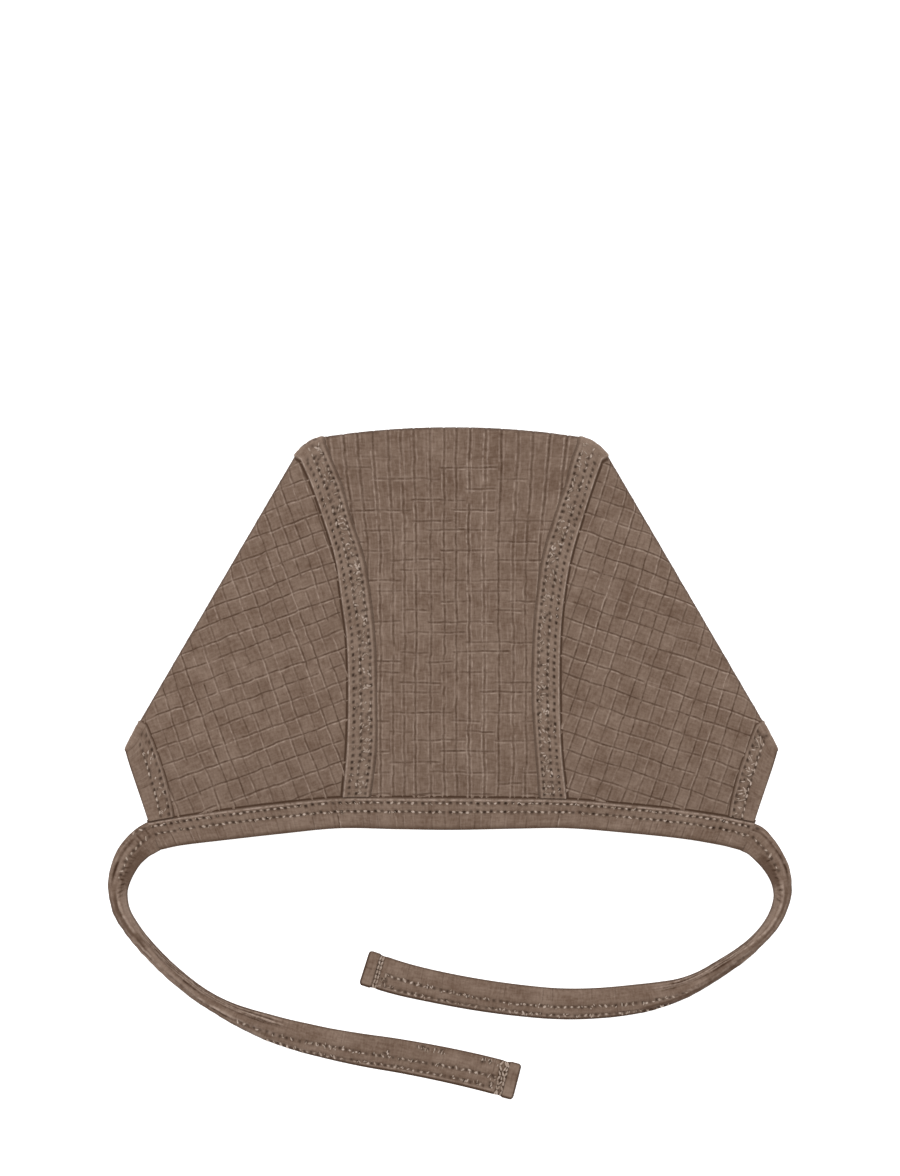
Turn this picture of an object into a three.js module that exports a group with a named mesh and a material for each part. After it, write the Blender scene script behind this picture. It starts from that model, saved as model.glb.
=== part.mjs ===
import * as THREE from 'three';

// A baby bonnet of fine checked knit in three panels, with bound edges and two flat ties.
// It lies flat, back of the head up: the forehead part is folded under along the crown and the sides.
// Millimetres, +z up. The lower layer lies on z = 0, x runs from ear to ear, +y from nape to crown,
// and the origin is under the middle of the bonnet without its ties.

// Cloth
const GAP = 0.4; // clearance between pieces that meet
const CLOTH = 1.3; // wall of a panel
const SEAM = { raise: 0.6, depth: 1.5 }; // seam band above and below the panels' outer face
const BINDING = { raise: 0.6, depth: 1.7 }; // folded binding above and below that face
const EDGE_SOFTNESS = 0.25; // share of the raise that is left at a band's rounded edge

// Form of the folded bonnet
const CROWN_Y = 78.6; // crown fold in the middle
const FOLD_RADIUS = 2.9; // outside of the folds at crown and sides
const LOFT = 15; // how far the upper layer swells above its folds
const SWELL_REACH = 28; // distance over which it swells up from a fold
const CORNER_REACH = 14; // the same from the short free edge at a face corner
const NECK_DIP = 0.45; // share of the swell that is missing at the neck edge
const NECK_REACH = 25; // distance from the neck edge over which it comes back
const REST_HEIGHT = 1.7; // outer face of the panels where the bindings meet the floor
const SETTLE = { from: -38, to: -65 }; // y range where the upper layer comes down to the floor

// The fold from the middle of the crown to the face corner, as arcs: length and turn in degrees
const FOLD_RUNS = [
  { part: 'crown', run: 47.2, turn: 8.6 },
  { part: 'seam', run: 14.0, turn: 51.1 },
  { part: 'side', run: 112.6, turn: 0 },
  { part: 'binding', run: 12.9, turn: 6.4 },
];

// The seam bands on the upper layer: distance of their edges from the middle line at each y
const SEAMS = [
  { y: 72.2, leftInner: 46.6, leftOuter: 58.6, rightInner: 46.6, rightOuter: 58.6 },
  { y: 66.0, leftInner: 44.1, leftOuter: 56.0, rightInner: 44.4, rightOuter: 56.2 },
  { y: 57.0, leftInner: 40.4, leftOuter: 52.0, rightInner: 42.0, rightOuter: 52.9 },
  { y: 45.0, leftInner: 37.0, leftOuter: 47.7, rightInner: 37.8, rightOuter: 48.9 },
  { y: 30.0, leftInner: 32.1, leftOuter: 43.1, rightInner: 33.4, rightOuter: 44.4 },
  { y: 15.0, leftInner: 29.6, leftOuter: 40.7, rightInner: 31.2, rightOuter: 41.7 },
  { y: 0.0, leftInner: 28.0, leftOuter: 38.7, rightInner: 30.0, rightOuter: 40.3 },
  { y: -20.0, leftInner: 27.4, leftOuter: 38.1, rightInner: 29.6, rightOuter: 40.0 },
  { y: -40.0, leftInner: 27.5, leftOuter: 38.6, rightInner: 30.8, rightOuter: 40.6 },
  { y: -57.8, leftInner: 29.8, leftOuter: 40.3, rightInner: 32.3, rightOuter: 42.6 },
];

// The same bands on the lower layer, where they run straight to the face binding
const LOWER_SEAM = { Inner: 40.7, Outer: 51.4 };

// The neck binding: y of its upper and lower edge at each x
const NECK = [
  { x: -115, top: -68.2, bottom: -80.0 },
  { x: -107.7, top: -66.7, bottom: -78.0 },
  { x: -100, top: -65.3, bottom: -76.2 },
  { x: -85, top: -62.9, bottom: -74.2 },
  { x: -63, top: -60.0, bottom: -71.6 },
  { x: -41, top: -57.9, bottom: -69.5 },
  { x: -20, top: -57.8, bottom: -69.8 },
  { x: 0, top: -57.9, bottom: -70.1 },
  { x: 25, top: -58.1, bottom: -69.6 },
  { x: 43, top: -58.5, bottom: -69.5 },
  { x: 63, top: -60.2, bottom: -71.1 },
  { x: 85, top: -62.6, bottom: -73.5 },
  { x: 100, top: -65.0, bottom: -76.2 },
  { x: 107.7, top: -66.7, bottom: -78.3 },
  { x: 115, top: -68.2, bottom: -80.0 },
];
const NECK_END = { top: 112.5, bottom: 107.5 }; // x of the slanted ends of the neck binding

// The face binding
const FACE_CORNER = { x: 120.8, y: -41.3 }; // where its free edge meets the side fold
const FACE_FOOT = { inner: 102.4, outer: 112.2 }; // x of its end on the neck binding
const FACE_BOW = 1.4; // how far its inner edge bows towards the middle
const FACE_OUTER = -14; // y of its free edge in the middle of the lower layer
const FACE_INNER = -2.6; // y of its inner edge there
const FACE_ROUND = 25; // how widely it turns in the middle

// The ties: a flat folded strap, creased to a low roof where it bends
const TIE = { width: 12.2, thickness: 2.2, endLength: 4.6, endThickness: 2.6, step: 3.4 };

// Middle line of each tie on the floor, from the neck binding to its end
const LEFT_ROUTE = [
  [-110.5, -73.0], [-112.4, -74.1], [-115.5, -76.3], [-119.3, -80.5], [-122.1, -86.3], [-123.4, -91.6],
  [-123.1, -96.7], [-121.8, -101.3], [-118.4, -107.0], [-113.9, -112.8], [-108.3, -118.8],
  [-101.7, -124.8], [-94.1, -130.7], [-86.1, -135.8], [-78.0, -139.8], [-63.4, -145.1],
  [-48.6, -149.0], [-33.8, -152.0], [-19.0, -154.4], [-4.2, -157.2], [10.6, -160.5], [24.4, -164.1],
];
const RIGHT_ROUTE = [
  [110.3, -73.5], [112.2, -74.4], [114.5, -76.5], [118.0, -80.7], [120.8, -85.4], [122.2, -89.8],
  [122.6, -94.0], [121.8, -98.5], [119.9, -103.0], [117.3, -107.0], [113.7, -111.0], [109.5, -114.9],
  [104.4, -118.7], [98.9, -122.3], [92.2, -126.3], [84.8, -129.5], [77.4, -131.5], [69.9, -133.0],
  [55.1, -134.7], [40.3, -135.0], [25.5, -133.8], [10.6, -131.8], [-4.2, -129.1], [-19.0, -125.7],
  [-32.3, -121.5],
];

// How steeply the two halves of each tie lean against each other, by the distance along it
const LEFT_CREASE = [
  { at: 0, lean: 8 }, { at: 4, lean: 24 }, { at: 9, lean: 32 }, { at: 14, lean: 39 },
  { at: 18, lean: 45.5 }, { at: 22, lean: 51 }, { at: 26, lean: 57 }, { at: 30, lean: 60 },
  { at: 38, lean: 63 }, { at: 58, lean: 65.5 }, { at: 78, lean: 64.5 }, { at: 86, lean: 60 },
  { at: 94, lean: 51.5 }, { at: 102, lean: 42 }, { at: 110, lean: 35 }, { at: 118, lean: 28 },
  { at: 126, lean: 24 }, { at: 134, lean: 17 }, { at: 142, lean: 9 }, { at: 150, lean: 0 },
  { at: 210, lean: 0 },
];
const RIGHT_CREASE = [
  { at: 0, lean: 12 }, { at: 4, lean: 27 }, { at: 9, lean: 35.5 }, { at: 12, lean: 41 },
  { at: 16, lean: 46 }, { at: 20, lean: 53 }, { at: 24, lean: 57.5 }, { at: 28, lean: 62 },
  { at: 38, lean: 66 }, { at: 46, lean: 68 }, { at: 54, lean: 65.5 }, { at: 62, lean: 62.5 },
  { at: 70, lean: 60 }, { at: 78, lean: 53 }, { at: 86, lean: 42.5 }, { at: 94, lean: 31 },
  { at: 102, lean: 25.5 }, { at: 110, lean: 23 }, { at: 126, lean: 20 }, { at: 150, lean: 15 },
  { at: 174, lean: 10 }, { at: 198, lean: 0 }, { at: 210, lean: 0 },
];

const clamp = (value, low, high) => Math.min(high, Math.max(low, value));
const lerp = (a, b, t) => a + (b - a) * t;
const ease = (t) => clamp(t, 0, 1) ** 2 * (3 - 2 * clamp(t, 0, 1));
const radians = (degrees) => (degrees * Math.PI) / 180;
const steps = (from, to, count) => Array.from({ length: count + 1 }, (_, i) => lerp(from, to, i / count));

// Reads a column of a table at any key, with a smooth curve through its rows
function read(rows, key, column, at) {
  const sign = rows[1][key] > rows[0][key] ? 1 : -1;
  let i = 0;
  while (i < rows.length - 2 && sign * (at - rows[i + 1][key]) > 0) {
    i += 1;
  }
  const slope = (k) => {
    const a = rows[Math.max(k - 1, 0)];
    const b = rows[Math.min(k + 1, rows.length - 1)];
    return (b[column] - a[column]) / (b[key] - a[key]);
  };
  const span = rows[i + 1][key] - rows[i][key];
  const t = clamp((at - rows[i][key]) / span, 0, 1);
  const bend = t * (1 - t) * span;
  const flat = lerp(rows[i][column], rows[i + 1][column], ease(t));
  return flat + bend * ((1 - t) * slope(i) - t * slope(i + 1));
}

// A point of the fold at a distance from the middle of the crown, with its outward direction.
// It lies FOLD_RADIUS inside the outline, where the flat layers pass into the rounded fold.
function foldAt(side, distance) {
  let left = distance;
  let heading = 0;
  let x = 0;
  let y = CROWN_Y;
  for (const [i, arc] of FOLD_RUNS.entries()) {
    const last = i === FOLD_RUNS.length - 1;
    const run = last ? left : Math.min(left, arc.run);
    const turn = radians(arc.turn) * (run / arc.run);
    const chord = Math.abs(turn) < 1e-9 ? run : (run * Math.sin(turn / 2)) / (turn / 2);
    x += chord * Math.cos(heading + turn / 2);
    y -= chord * Math.sin(heading + turn / 2);
    heading += turn;
    left -= run;
    if (left <= 0) {
      break;
    }
  }
  const outward = [side * Math.sin(heading), Math.cos(heading)];
  const point = [side * x - outward[0] * FOLD_RADIUS, y - outward[1] * FOLD_RADIUS];
  return { point, outward };
}

const SEAM_START = FOLD_RUNS[0].run;
const SEAM_END = SEAM_START + FOLD_RUNS[1].run;
const SIDE_END = SEAM_END + FOLD_RUNS[2].run;
const FOLD_END = SIDE_END + FOLD_RUNS[3].run;
const CROWN_RADIUS = FOLD_RUNS[0].run / radians(FOLD_RUNS[0].turn);

const neckTop = (x) => read(NECK, 'x', 'top', x);
const neckBottom = (x) => read(NECK, 'x', 'bottom', x);

// Distance inside a straight edge that passes through a point with an outward direction
const inside = (x, y, point, outward) => (point[0] - x) * outward[0] + (point[1] - y) * outward[1];

// Height of the outer face of the upper layer
const sideFold = foldAt(1, SEAM_END + 1);
const faceEdge = [FACE_CORNER.x - FACE_FOOT.outer, FACE_CORNER.y - neckTop(FACE_FOOT.outer)];
const faceEdgeLength = Math.hypot(faceEdge[0], faceEdge[1]);
const faceOutward = [faceEdge[1] / faceEdgeLength, -faceEdge[0] / faceEdgeLength];
const sidePoint = sideFold.point.map((value, k) => value + sideFold.outward[k] * FOLD_RADIUS);

function topHeight(x, y) {
  const swell = (distance, reach) => 1 - Math.exp(-Math.max(distance, 0) / reach);
  const crown = CROWN_RADIUS - Math.hypot(x, y - (CROWN_Y - CROWN_RADIUS));
  const settled = ease((SETTLE.from - y) / (SETTLE.from - SETTLE.to));
  let rise = LOFT * swell(crown, SWELL_REACH);
  for (const side of [-1, 1]) {
    rise *= swell(inside(side * x, y, sidePoint, sideFold.outward), SWELL_REACH);
    rise *= swell(inside(side * x, y, [FACE_CORNER.x, FACE_CORNER.y], faceOutward), CORNER_REACH);
  }
  rise *= 1 - NECK_DIP * Math.exp(-Math.max(y - neckBottom(x), 0) / NECK_REACH);
  return lerp(2 * FOLD_RADIUS, REST_HEIGHT, settled) + rise;
}

// A surface that crosses the fold: way 0 to 1 on the upper layer, 1 to 2 round the fold, and
// 2 to 3 on the lower layer
function folded(upper, lower, fold) {
  return (f, way) => {
    if (way <= 1) {
      const [x, y] = upper(f, way);
      return new THREE.Vector3(x, y, topHeight(x, y));
    }
    if (way >= 2) {
      const [x, y] = lower(f, way - 2);
      return new THREE.Vector3(x, y, 0);
    }
    const { point, outward } = fold(f);
    const angle = Math.PI * (1.5 - way);
    const x = point[0] + outward[0] * FOLD_RADIUS * Math.cos(angle);
    const y = point[1] + outward[1] * FOLD_RADIUS * Math.cos(angle);
    const flat = topHeight(point[0], point[1]);
    return new THREE.Vector3(x, y, (flat * (1 + Math.sin(angle))) / 2);
  };
}

// A plan patch between four curves: near and far run over f, first and last over v
function patch(near, far, first, last) {
  return (f, v) =>
    [0, 1].map((k) => {
      const along = lerp(near(f)[k], far(f)[k], v);
      const across = lerp(first(v)[k], last(v)[k], f);
      const corners = lerp(lerp(near(0)[k], near(1)[k], f), lerp(far(0)[k], far(1)[k], f), v);
      return along + across - corners;
    });
}

// A closed wall over a surface: stations over f and way, the outer face raised and the inner
// face sunk by the thickness given at each station
function wall(surface, across, along, raise, depth) {
  const small = 1e-3;
  const lowF = across[0];
  const highF = across[across.length - 1];
  const lowW = along[0];
  const highW = along[along.length - 1];
  const normalAt = (f, w) => {
    const f0 = clamp(f - small, lowF, highF);
    const f1 = clamp(f + small, lowF, highF);
    const w0 = clamp(w - small, lowW, highW);
    const w1 = clamp(w + small, lowW, highW);
    const df = surface(f1, w).sub(surface(f0, w));
    const dw = surface(f, w1).sub(surface(f, w0));
    return df.cross(dw).normalize();
  };
  const midF = (lowF + highF) / 2;
  const facing = normalAt(midF, lowW + 0.3).z > 0 ? 1 : -1;
  const positions = [];
  for (const sign of [1, -1]) {
    for (const w of along) {
      for (const f of across) {
        const offset = sign > 0 ? raise(f, w) : -depth(f, w);
        const point = surface(f, w).addScaledVector(normalAt(f, w), facing * offset);
        positions.push(point.x, point.y, Math.max(point.z, 0));
      }
    }
  }
  const columns = across.length;
  const rows = along.length;
  const index = [];
  const quad = (a, b, c, d) => index.push(a, b, c, a, c, d);
  const at = (layer, row, column) => (layer * rows + row) * columns + column;
  for (let r = 0; r < rows - 1; r += 1) {
    for (let c = 0; c < columns - 1; c += 1) {
      quad(at(0, r, c), at(0, r, c + 1), at(0, r + 1, c + 1), at(0, r + 1, c));
      quad(at(1, r, c), at(1, r + 1, c), at(1, r + 1, c + 1), at(1, r, c + 1));
    }
    quad(at(0, r, 0), at(0, r + 1, 0), at(1, r + 1, 0), at(1, r, 0));
    const e = columns - 1;
    quad(at(0, r, e), at(1, r, e), at(1, r + 1, e), at(0, r + 1, e));
  }
  for (let c = 0; c < columns - 1; c += 1) {
    quad(at(0, 0, c), at(1, 0, c), at(1, 0, c + 1), at(0, 0, c + 1));
    const e = rows - 1;
    quad(at(0, e, c), at(0, e, c + 1), at(1, e, c + 1), at(1, e, c));
  }
  return solid(positions, index, facing < 0);
}

function solid(positions, index, turned) {
  if (turned) {
    for (let i = 0; i < index.length; i += 3) {
      [index[i + 1], index[i + 2]] = [index[i + 2], index[i + 1]];
    }
  }
  const geometry = new THREE.BufferGeometry();
  geometry.setAttribute('position', new THREE.Float32BufferAttribute(positions, 3));
  geometry.setIndex(index);
  geometry.computeVertexNormals();
  return geometry;
}

// One edge of a seam band, from the neck (0) to the fold (1). Shift moves it away from the middle.
function seamEdge(side, edge, shift) {
  const column = (side < 0 ? 'left' : 'right') + edge;
  const fold = foldAt(side, (edge === 'Inner' ? SEAM_START : SEAM_END) + shift).point;
  const offset = (y) => side * (read(SEAMS, 'y', column, y) + shift);
  const foot = neckTop(offset(SEAMS[SEAMS.length - 1].y)) + GAP / 2;
  return (v) => {
    const y = lerp(foot, fold[1], v);
    return [offset(y) + v * v * (fold[0] - offset(fold[1])), y];
  };
}

// The curves of the face binding on the lower layer, and the seam edges that run to it
function faceCurve(middle, corner) {
  const bow = (x) => Math.hypot(x, FACE_ROUND) - FACE_ROUND;
  return (x) => middle + ((corner[1] - middle) * bow(x)) / bow(corner[0]);
}
const innerCurve = faceCurve(FACE_INNER, foldAt(1, SIDE_END).point);
const outerCurve = faceCurve(FACE_OUTER, foldAt(1, FOLD_END).point);

function lowerSeamEdge(side, edge, shift) {
  const fold = foldAt(side, (edge === 'Inner' ? SEAM_START : SEAM_END) + shift).point;
  const x = side * (LOWER_SEAM[edge] + shift);
  return (v) => [lerp(fold[0], x, v), lerp(fold[1], innerCurve(x) + GAP / 2, v)];
}

// A line over f along the neck binding or along the inner curve of the face binding
const neckLine = (x0, x1) => (f) => [lerp(x0, x1, f), neckTop(lerp(x0, x1, f)) + GAP / 2];
const faceLine = (x0, x1) => (f) => [lerp(x0, x1, f), innerCurve(lerp(x0, x1, f)) + GAP / 2];

// Surface of a panel or band that runs from the neck over the crown, between two seam edges
function overCrown(start, end) {
  const signed = (edge) => edge.side * ((edge.edge === 'Inner' ? SEAM_START : SEAM_END) + edge.shift);
  const fold = (f) => {
    const distance = lerp(signed(start), signed(end), f);
    return foldAt(Math.sign(distance) || 1, Math.abs(distance));
  };
  const [first, last] = [start, end].map((e) => seamEdge(e.side, e.edge, e.shift));
  const [lowFirst, lowLast] = [start, end].map((e) => lowerSeamEdge(e.side, e.edge, e.shift));
  const crown = (f) => fold(f).point;
  const upper = patch(neckLine(first(0)[0], last(0)[0]), crown, first, last);
  const lower = patch(crown, faceLine(lowFirst(1)[0], lowLast(1)[0]), lowFirst, lowLast);
  return folded(upper, lower, fold);
}

// The inner edge of the face binding on the upper layer, from the neck (0) to the side fold (1)
function faceInnerEdge(side, shift) {
  const fold = foldAt(side, SIDE_END + shift).point;
  const x = side * (FACE_FOOT.inner + shift);
  const foot = [x, neckTop(x) + GAP / 2];
  return (t) => {
    const bow = side * FACE_BOW * 4 * t * (1 - t);
    return [lerp(foot[0], fold[0], t) - bow, lerp(foot[1], fold[1], t)];
  };
}

// Surface of a side panel: f runs down the side fold, way crosses from seam to seam round it
const PANEL_TIP = 1; // fold length that is left free at the pointed end
const CORNER_WAY = 0.625; // where its lower edge turns from the neck to the face binding
function aroundSide(side) {
  const fold = (f) => foldAt(side, lerp(SEAM_END + GAP / 2 + PANEL_TIP, SIDE_END - GAP / 2, f));
  const rim = (f) => fold(f).point;
  const seam = seamEdge(side, 'Outer', GAP / 2);
  const seamDown = (f) => seam(lerp(0.985, 0, f));
  const lowSeam = lowerSeamEdge(side, 'Outer', GAP / 2);
  const lowSeamDown = (f) => lowSeam(lerp(0.015, 1, f));
  const binding = faceInnerEdge(side, -GAP / 2);
  const neck = neckLine(seam(0)[0], binding(0)[0]);
  const past = (v) => (v - CORNER_WAY) / (1 - CORNER_WAY);
  const foot = (v) => (v < CORNER_WAY ? neck(v / CORNER_WAY) : binding(past(v)));
  const straight = (a, b) => (v) => [lerp(a[0], b[0], v), lerp(a[1], b[1], v)];
  const face = faceLine(rim(1)[0], lowSeam(1)[0]);
  const upper = patch(seamDown, rim, straight(seamDown(0), rim(0)), foot);
  const lower = patch(rim, lowSeamDown, straight(rim(0), lowSeamDown(0)), face);
  return folded(upper, lower, fold);
}

// Surface of the face binding: f from its inner to its free edge, way 0 to 3 over the left half
// and 3 to 6 back over the right half
function faceStrip(f, way) {
  const side = way <= 3 ? -1 : 1;
  const half = way <= 3 ? way : 6 - way;
  const fold = (g) => foldAt(side, lerp(SIDE_END + GAP / 2, FOLD_END, g));
  const rim = (g) => fold(g).point;
  const inner = faceInnerEdge(side, GAP / 2);
  const footX = (g) => side * lerp(Math.abs(inner(0)[0]), FACE_FOOT.outer, g);
  const foot = (g) => [footX(g), neckTop(footX(g)) + GAP / 2];
  const corner = [side * FACE_CORNER.x, FACE_CORNER.y];
  const bend = (t) => [0, 1].map((k) => t ** 8 * (rim(1)[k] - corner[k]));
  const free = (t) => [0, 1].map((k) => lerp(foot(1)[k], corner[k], t) + bend(t)[k]);
  const middle = (g) => [0, lerp(FACE_INNER - GAP / 2, FACE_OUTER, g)];
  const lowInner = (v) => [lerp(rim(0)[0], 0, v), innerCurve(lerp(rim(0)[0], 0, v)) - GAP / 2];
  const lowFree = (v) => [lerp(rim(1)[0], 0, v), outerCurve(lerp(rim(1)[0], 0, v))];
  const upper = patch(foot, rim, inner, free);
  const lower = patch(rim, middle, lowInner, lowFree);
  return folded(upper, lower, fold)(f, half);
}

// Surface of the neck binding: f from its upper to its lower edge, way from left to right
function neckStrip(f, way) {
  const end = lerp(NECK_END.top, NECK_END.bottom, f);
  const x = lerp(-end, end, way);
  const y = lerp(neckTop(x) - GAP / 2, neckBottom(x), f);
  return new THREE.Vector3(x, y, topHeight(x, y));
}

// Thickness of a band, rounded off at both long edges, with its raise passing from the outer
// face on the upper layer to the inner face on the lower one
function bandSection(band) {
  const rounded = (f) => (f < 0.01 || f > 0.99 ? EDGE_SOFTNESS : 1);
  const upper = (way) => 1 - ease(Math.min(way, 6 - way) - 1);
  return {
    raise: (f, way) => band.raise * rounded(f) * upper(way),
    depth: (f, way) => band.depth + band.raise * rounded(f) * (1 - upper(way)),
  };
}

// A tie: ten-sided strap section, creased along its middle, swept along its route on the floor
function tie(route, crease) {
  const points = route.map(([x, y]) => new THREE.Vector3(x, y, 0));
  const path = new THREE.CatmullRomCurve3(points, false, 'centripetal');
  const length = path.getLength();
  const count = Math.round(length / TIE.step);
  const stations = [...steps(0, length - TIE.endLength, count), length - TIE.endLength + 0.6];
  stations.push(length - 1.2, length);
  const positions = [];
  const profile = [-1, -0.5, 0, 0.5, 1];
  for (const at of stations) {
    const u = at / length;
    const centre = path.getPointAt(u);
    const ahead = path.getTangentAt(u);
    const sideways = new THREE.Vector3(-ahead.y, ahead.x, 0);
    const lean = radians(read(crease, 'at', 'lean', at));
    const folded = at > length - TIE.endLength + 0.1;
    const thickness = folded ? TIE.endThickness : TIE.thickness;
    const corner = at > length - 0.1 ? 0.95 : 1;
    const section = [];
    for (const layer of [1, -1]) {
      for (const p of layer > 0 ? profile : [...profile].reverse()) {
        const soft = Math.abs(p) > 0.9 ? EDGE_SOFTNESS : 1;
        const half = (TIE.width / 2) * corner;
        const skin = layer * (thickness / 2) * soft;
        const across = p * half * Math.cos(lean) + skin * Math.sign(p) * Math.sin(lean);
        const up = (1 - Math.abs(p)) * half * Math.sin(lean) + skin * Math.cos(lean);
        section.push([across, up]);
      }
    }
    const lowest = Math.min(...section.map((point) => point[1]));
    for (const [across, up] of section) {
      positions.push(centre.x + sideways.x * across, centre.y + sideways.y * across, up - lowest);
    }
  }
  const sides = 2 * profile.length;
  const index = [];
  for (let r = 0; r < stations.length - 1; r += 1) {
    for (let c = 0; c < sides; c += 1) {
      const next = (c + 1) % sides;
      const [a, b] = [r * sides + c, r * sides + next];
      index.push(a, a + sides, b + sides, a, b + sides, b);
    }
  }
  const lastRow = (stations.length - 1) * sides;
  for (let c = 0; c < profile.length - 1; c += 1) {
    const [a, b] = [c, c + 1];
    const [d, e] = [sides - 1 - c, sides - 2 - c];
    index.push(a, b, e, a, e, d);
    index.push(lastRow + a, lastRow + e, lastRow + b, lastRow + a, lastRow + d, lastRow + e);
  }
  return solid(positions, index, false);
}

const bonnet = new THREE.Group();
function add(name, geometry, color) {
  const material = new THREE.MeshStandardMaterial({ color, roughness: 0.95, metalness: 0 });
  const mesh = new THREE.Mesh(geometry, material);
  mesh.name = name;
  bonnet.add(mesh);
}

const KNIT = '#7b6658';
const KNIT_BAND = '#7e695b';
const crossing = (upper, round, lower) => [
  ...steps(0, 1, upper), ...steps(1, 2, round).slice(1), ...steps(2, 3, lower).slice(1),
];
const BAND_STATIONS = [0, 0.2, 0.8, 1];
const FACE_STATIONS = [0, 0.3, 0.6, 0.86, 1];
const panelStations = [
  ...steps(0, CORNER_WAY, 5), ...FACE_STATIONS.slice(1).map((t) => lerp(CORNER_WAY, 1, t)),
  ...crossing(1, 6, 6).slice(2),
];
const seamSection = bandSection(SEAM);
const bindingSection = bandSection(BINDING);
const plain = { raise: () => 0, depth: () => CLOTH };

const edge = (side, name, shift) => ({ side, edge: name, shift });
const middle = overCrown(edge(-1, 'Inner', -GAP / 2), edge(1, 'Inner', -GAP / 2));
const centrePanel = wall(middle, steps(0, 1, 12), crossing(22, 6, 10), plain.raise, plain.depth);
add('centre_panel', centrePanel, KNIT);
for (const [side, name] of [[-1, 'left'], [1, 'right']]) {
  const panel = wall(aroundSide(side), steps(0, 1, 22), panelStations, plain.raise, plain.depth);
  add(`side_panel_${name}`, panel, KNIT);
  const band = overCrown(edge(side, 'Inner', GAP / 2), edge(side, 'Outer', -GAP / 2));
  const shape = wall(band, BAND_STATIONS, crossing(22, 6, 10), seamSection.raise, seamSection.depth);
  add(`seam_band_${name}`, shape, KNIT_BAND);
}
const halfFace = [...FACE_STATIONS, ...crossing(1, 6, 14).slice(2)];
const wholeFace = [...halfFace, ...halfFace.slice(0, -1).reverse().map((way) => 6 - way)];
const { raise, depth } = bindingSection;
const neckRaise = (f) => raise(f, 0);
const neckDepth = (f) => depth(f, 0);
add('face_binding', wall(faceStrip, BAND_STATIONS, wholeFace, raise, depth), KNIT_BAND);
add('neck_binding', wall(neckStrip, BAND_STATIONS, steps(0, 1, 44), neckRaise, neckDepth), KNIT_BAND);
add('tie_left', tie(LEFT_ROUTE, LEFT_CREASE), KNIT_BAND);
add('tie_right', tie(RIGHT_ROUTE, RIGHT_CREASE), KNIT_BAND);

export default bonnet;
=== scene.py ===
import math

import bpy
import numpy as np
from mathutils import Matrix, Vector


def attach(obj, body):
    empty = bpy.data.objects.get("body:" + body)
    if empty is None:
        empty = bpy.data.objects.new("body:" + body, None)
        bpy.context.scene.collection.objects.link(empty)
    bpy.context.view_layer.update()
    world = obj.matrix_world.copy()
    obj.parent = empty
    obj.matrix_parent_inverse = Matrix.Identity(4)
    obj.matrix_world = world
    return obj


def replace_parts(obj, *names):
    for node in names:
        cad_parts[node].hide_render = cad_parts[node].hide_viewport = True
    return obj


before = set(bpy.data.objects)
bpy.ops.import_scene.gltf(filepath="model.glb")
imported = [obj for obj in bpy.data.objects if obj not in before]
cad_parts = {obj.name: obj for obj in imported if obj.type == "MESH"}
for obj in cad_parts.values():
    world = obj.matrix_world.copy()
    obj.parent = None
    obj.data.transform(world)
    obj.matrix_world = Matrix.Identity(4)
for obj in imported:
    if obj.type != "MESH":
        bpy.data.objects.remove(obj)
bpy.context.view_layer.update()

# A baby bonnet of fine drop-needle jersey in three panels, laid flat with its forehead part folded
# under. Metres, +z up: x runs from ear to ear, +y from nape to crown, and the floor is z = 0.

MM = 0.001
BODY = "root"

# The laid form
GAP = 0.0004  # clearance between pieces that meet
CROWN_Y = 0.0786  # crown fold in the middle
FOLD_RADIUS = 0.0029  # outside of the folds at crown and sides
FOLD_LENGTH = 0.0103  # cloth that goes round a fold
LOFT = 0.015  # how far the upper layer swells above its folds
SWELL_REACH = 0.028  # distance over which it swells up from a fold
CORNER_REACH = 0.014  # the same from the short free edge at a face corner
NECK_DIP = 0.45  # share of the swell that is missing at the neck edge
NECK_REACH = 0.025  # distance from the neck edge over which it comes back
REST_HEIGHT = 0.0017  # outer face of the cloth where it lies on the floor
SETTLE_FROM, SETTLE_TO = -0.038, -0.065  # y range where the upper layer comes down to it

# The fold from the middle of the crown to the face corner: length and turn in degrees of each arc
FOLD_RUNS = ((0.0472, 8.6), (0.014, 51.1), (0.1126, 0), (0.0129, 6.4))
SEAM_START = FOLD_RUNS[0][0]
SEAM_END = SEAM_START + FOLD_RUNS[1][0]
SIDE_END = SEAM_END + FOLD_RUNS[2][0]
FOLD_END = SIDE_END + FOLD_RUNS[3][0]
CROWN_RADIUS = FOLD_RUNS[0][0] / math.radians(FOLD_RUNS[0][1])

# The seams on the upper layer: distance of their edges from the middle line at each y
SEAM_COLUMNS = ("y", "left_inner", "left_outer", "right_inner", "right_outer")
SEAMS = (
    (0.0722, 0.0466, 0.0586, 0.0466, 0.0586),
    (0.066, 0.0441, 0.056, 0.0444, 0.0562),
    (0.057, 0.0404, 0.052, 0.042, 0.0529),
    (0.045, 0.037, 0.0477, 0.0378, 0.0489),
    (0.03, 0.0321, 0.0431, 0.0334, 0.0444),
    (0.015, 0.0296, 0.0407, 0.0312, 0.0417),
    (0, 0.028, 0.0387, 0.03, 0.0403),
    (-0.02, 0.0274, 0.0381, 0.0296, 0.04),
    (-0.04, 0.0275, 0.0386, 0.0308, 0.0406),
    (-0.0578, 0.0298, 0.0403, 0.0323, 0.0426),
)
LOWER_SEAM = {"inner": 0.0407, "outer": 0.0514}  # the same at the face edge of the lower layer
SEAM_WIDTH = 0.0107

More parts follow.
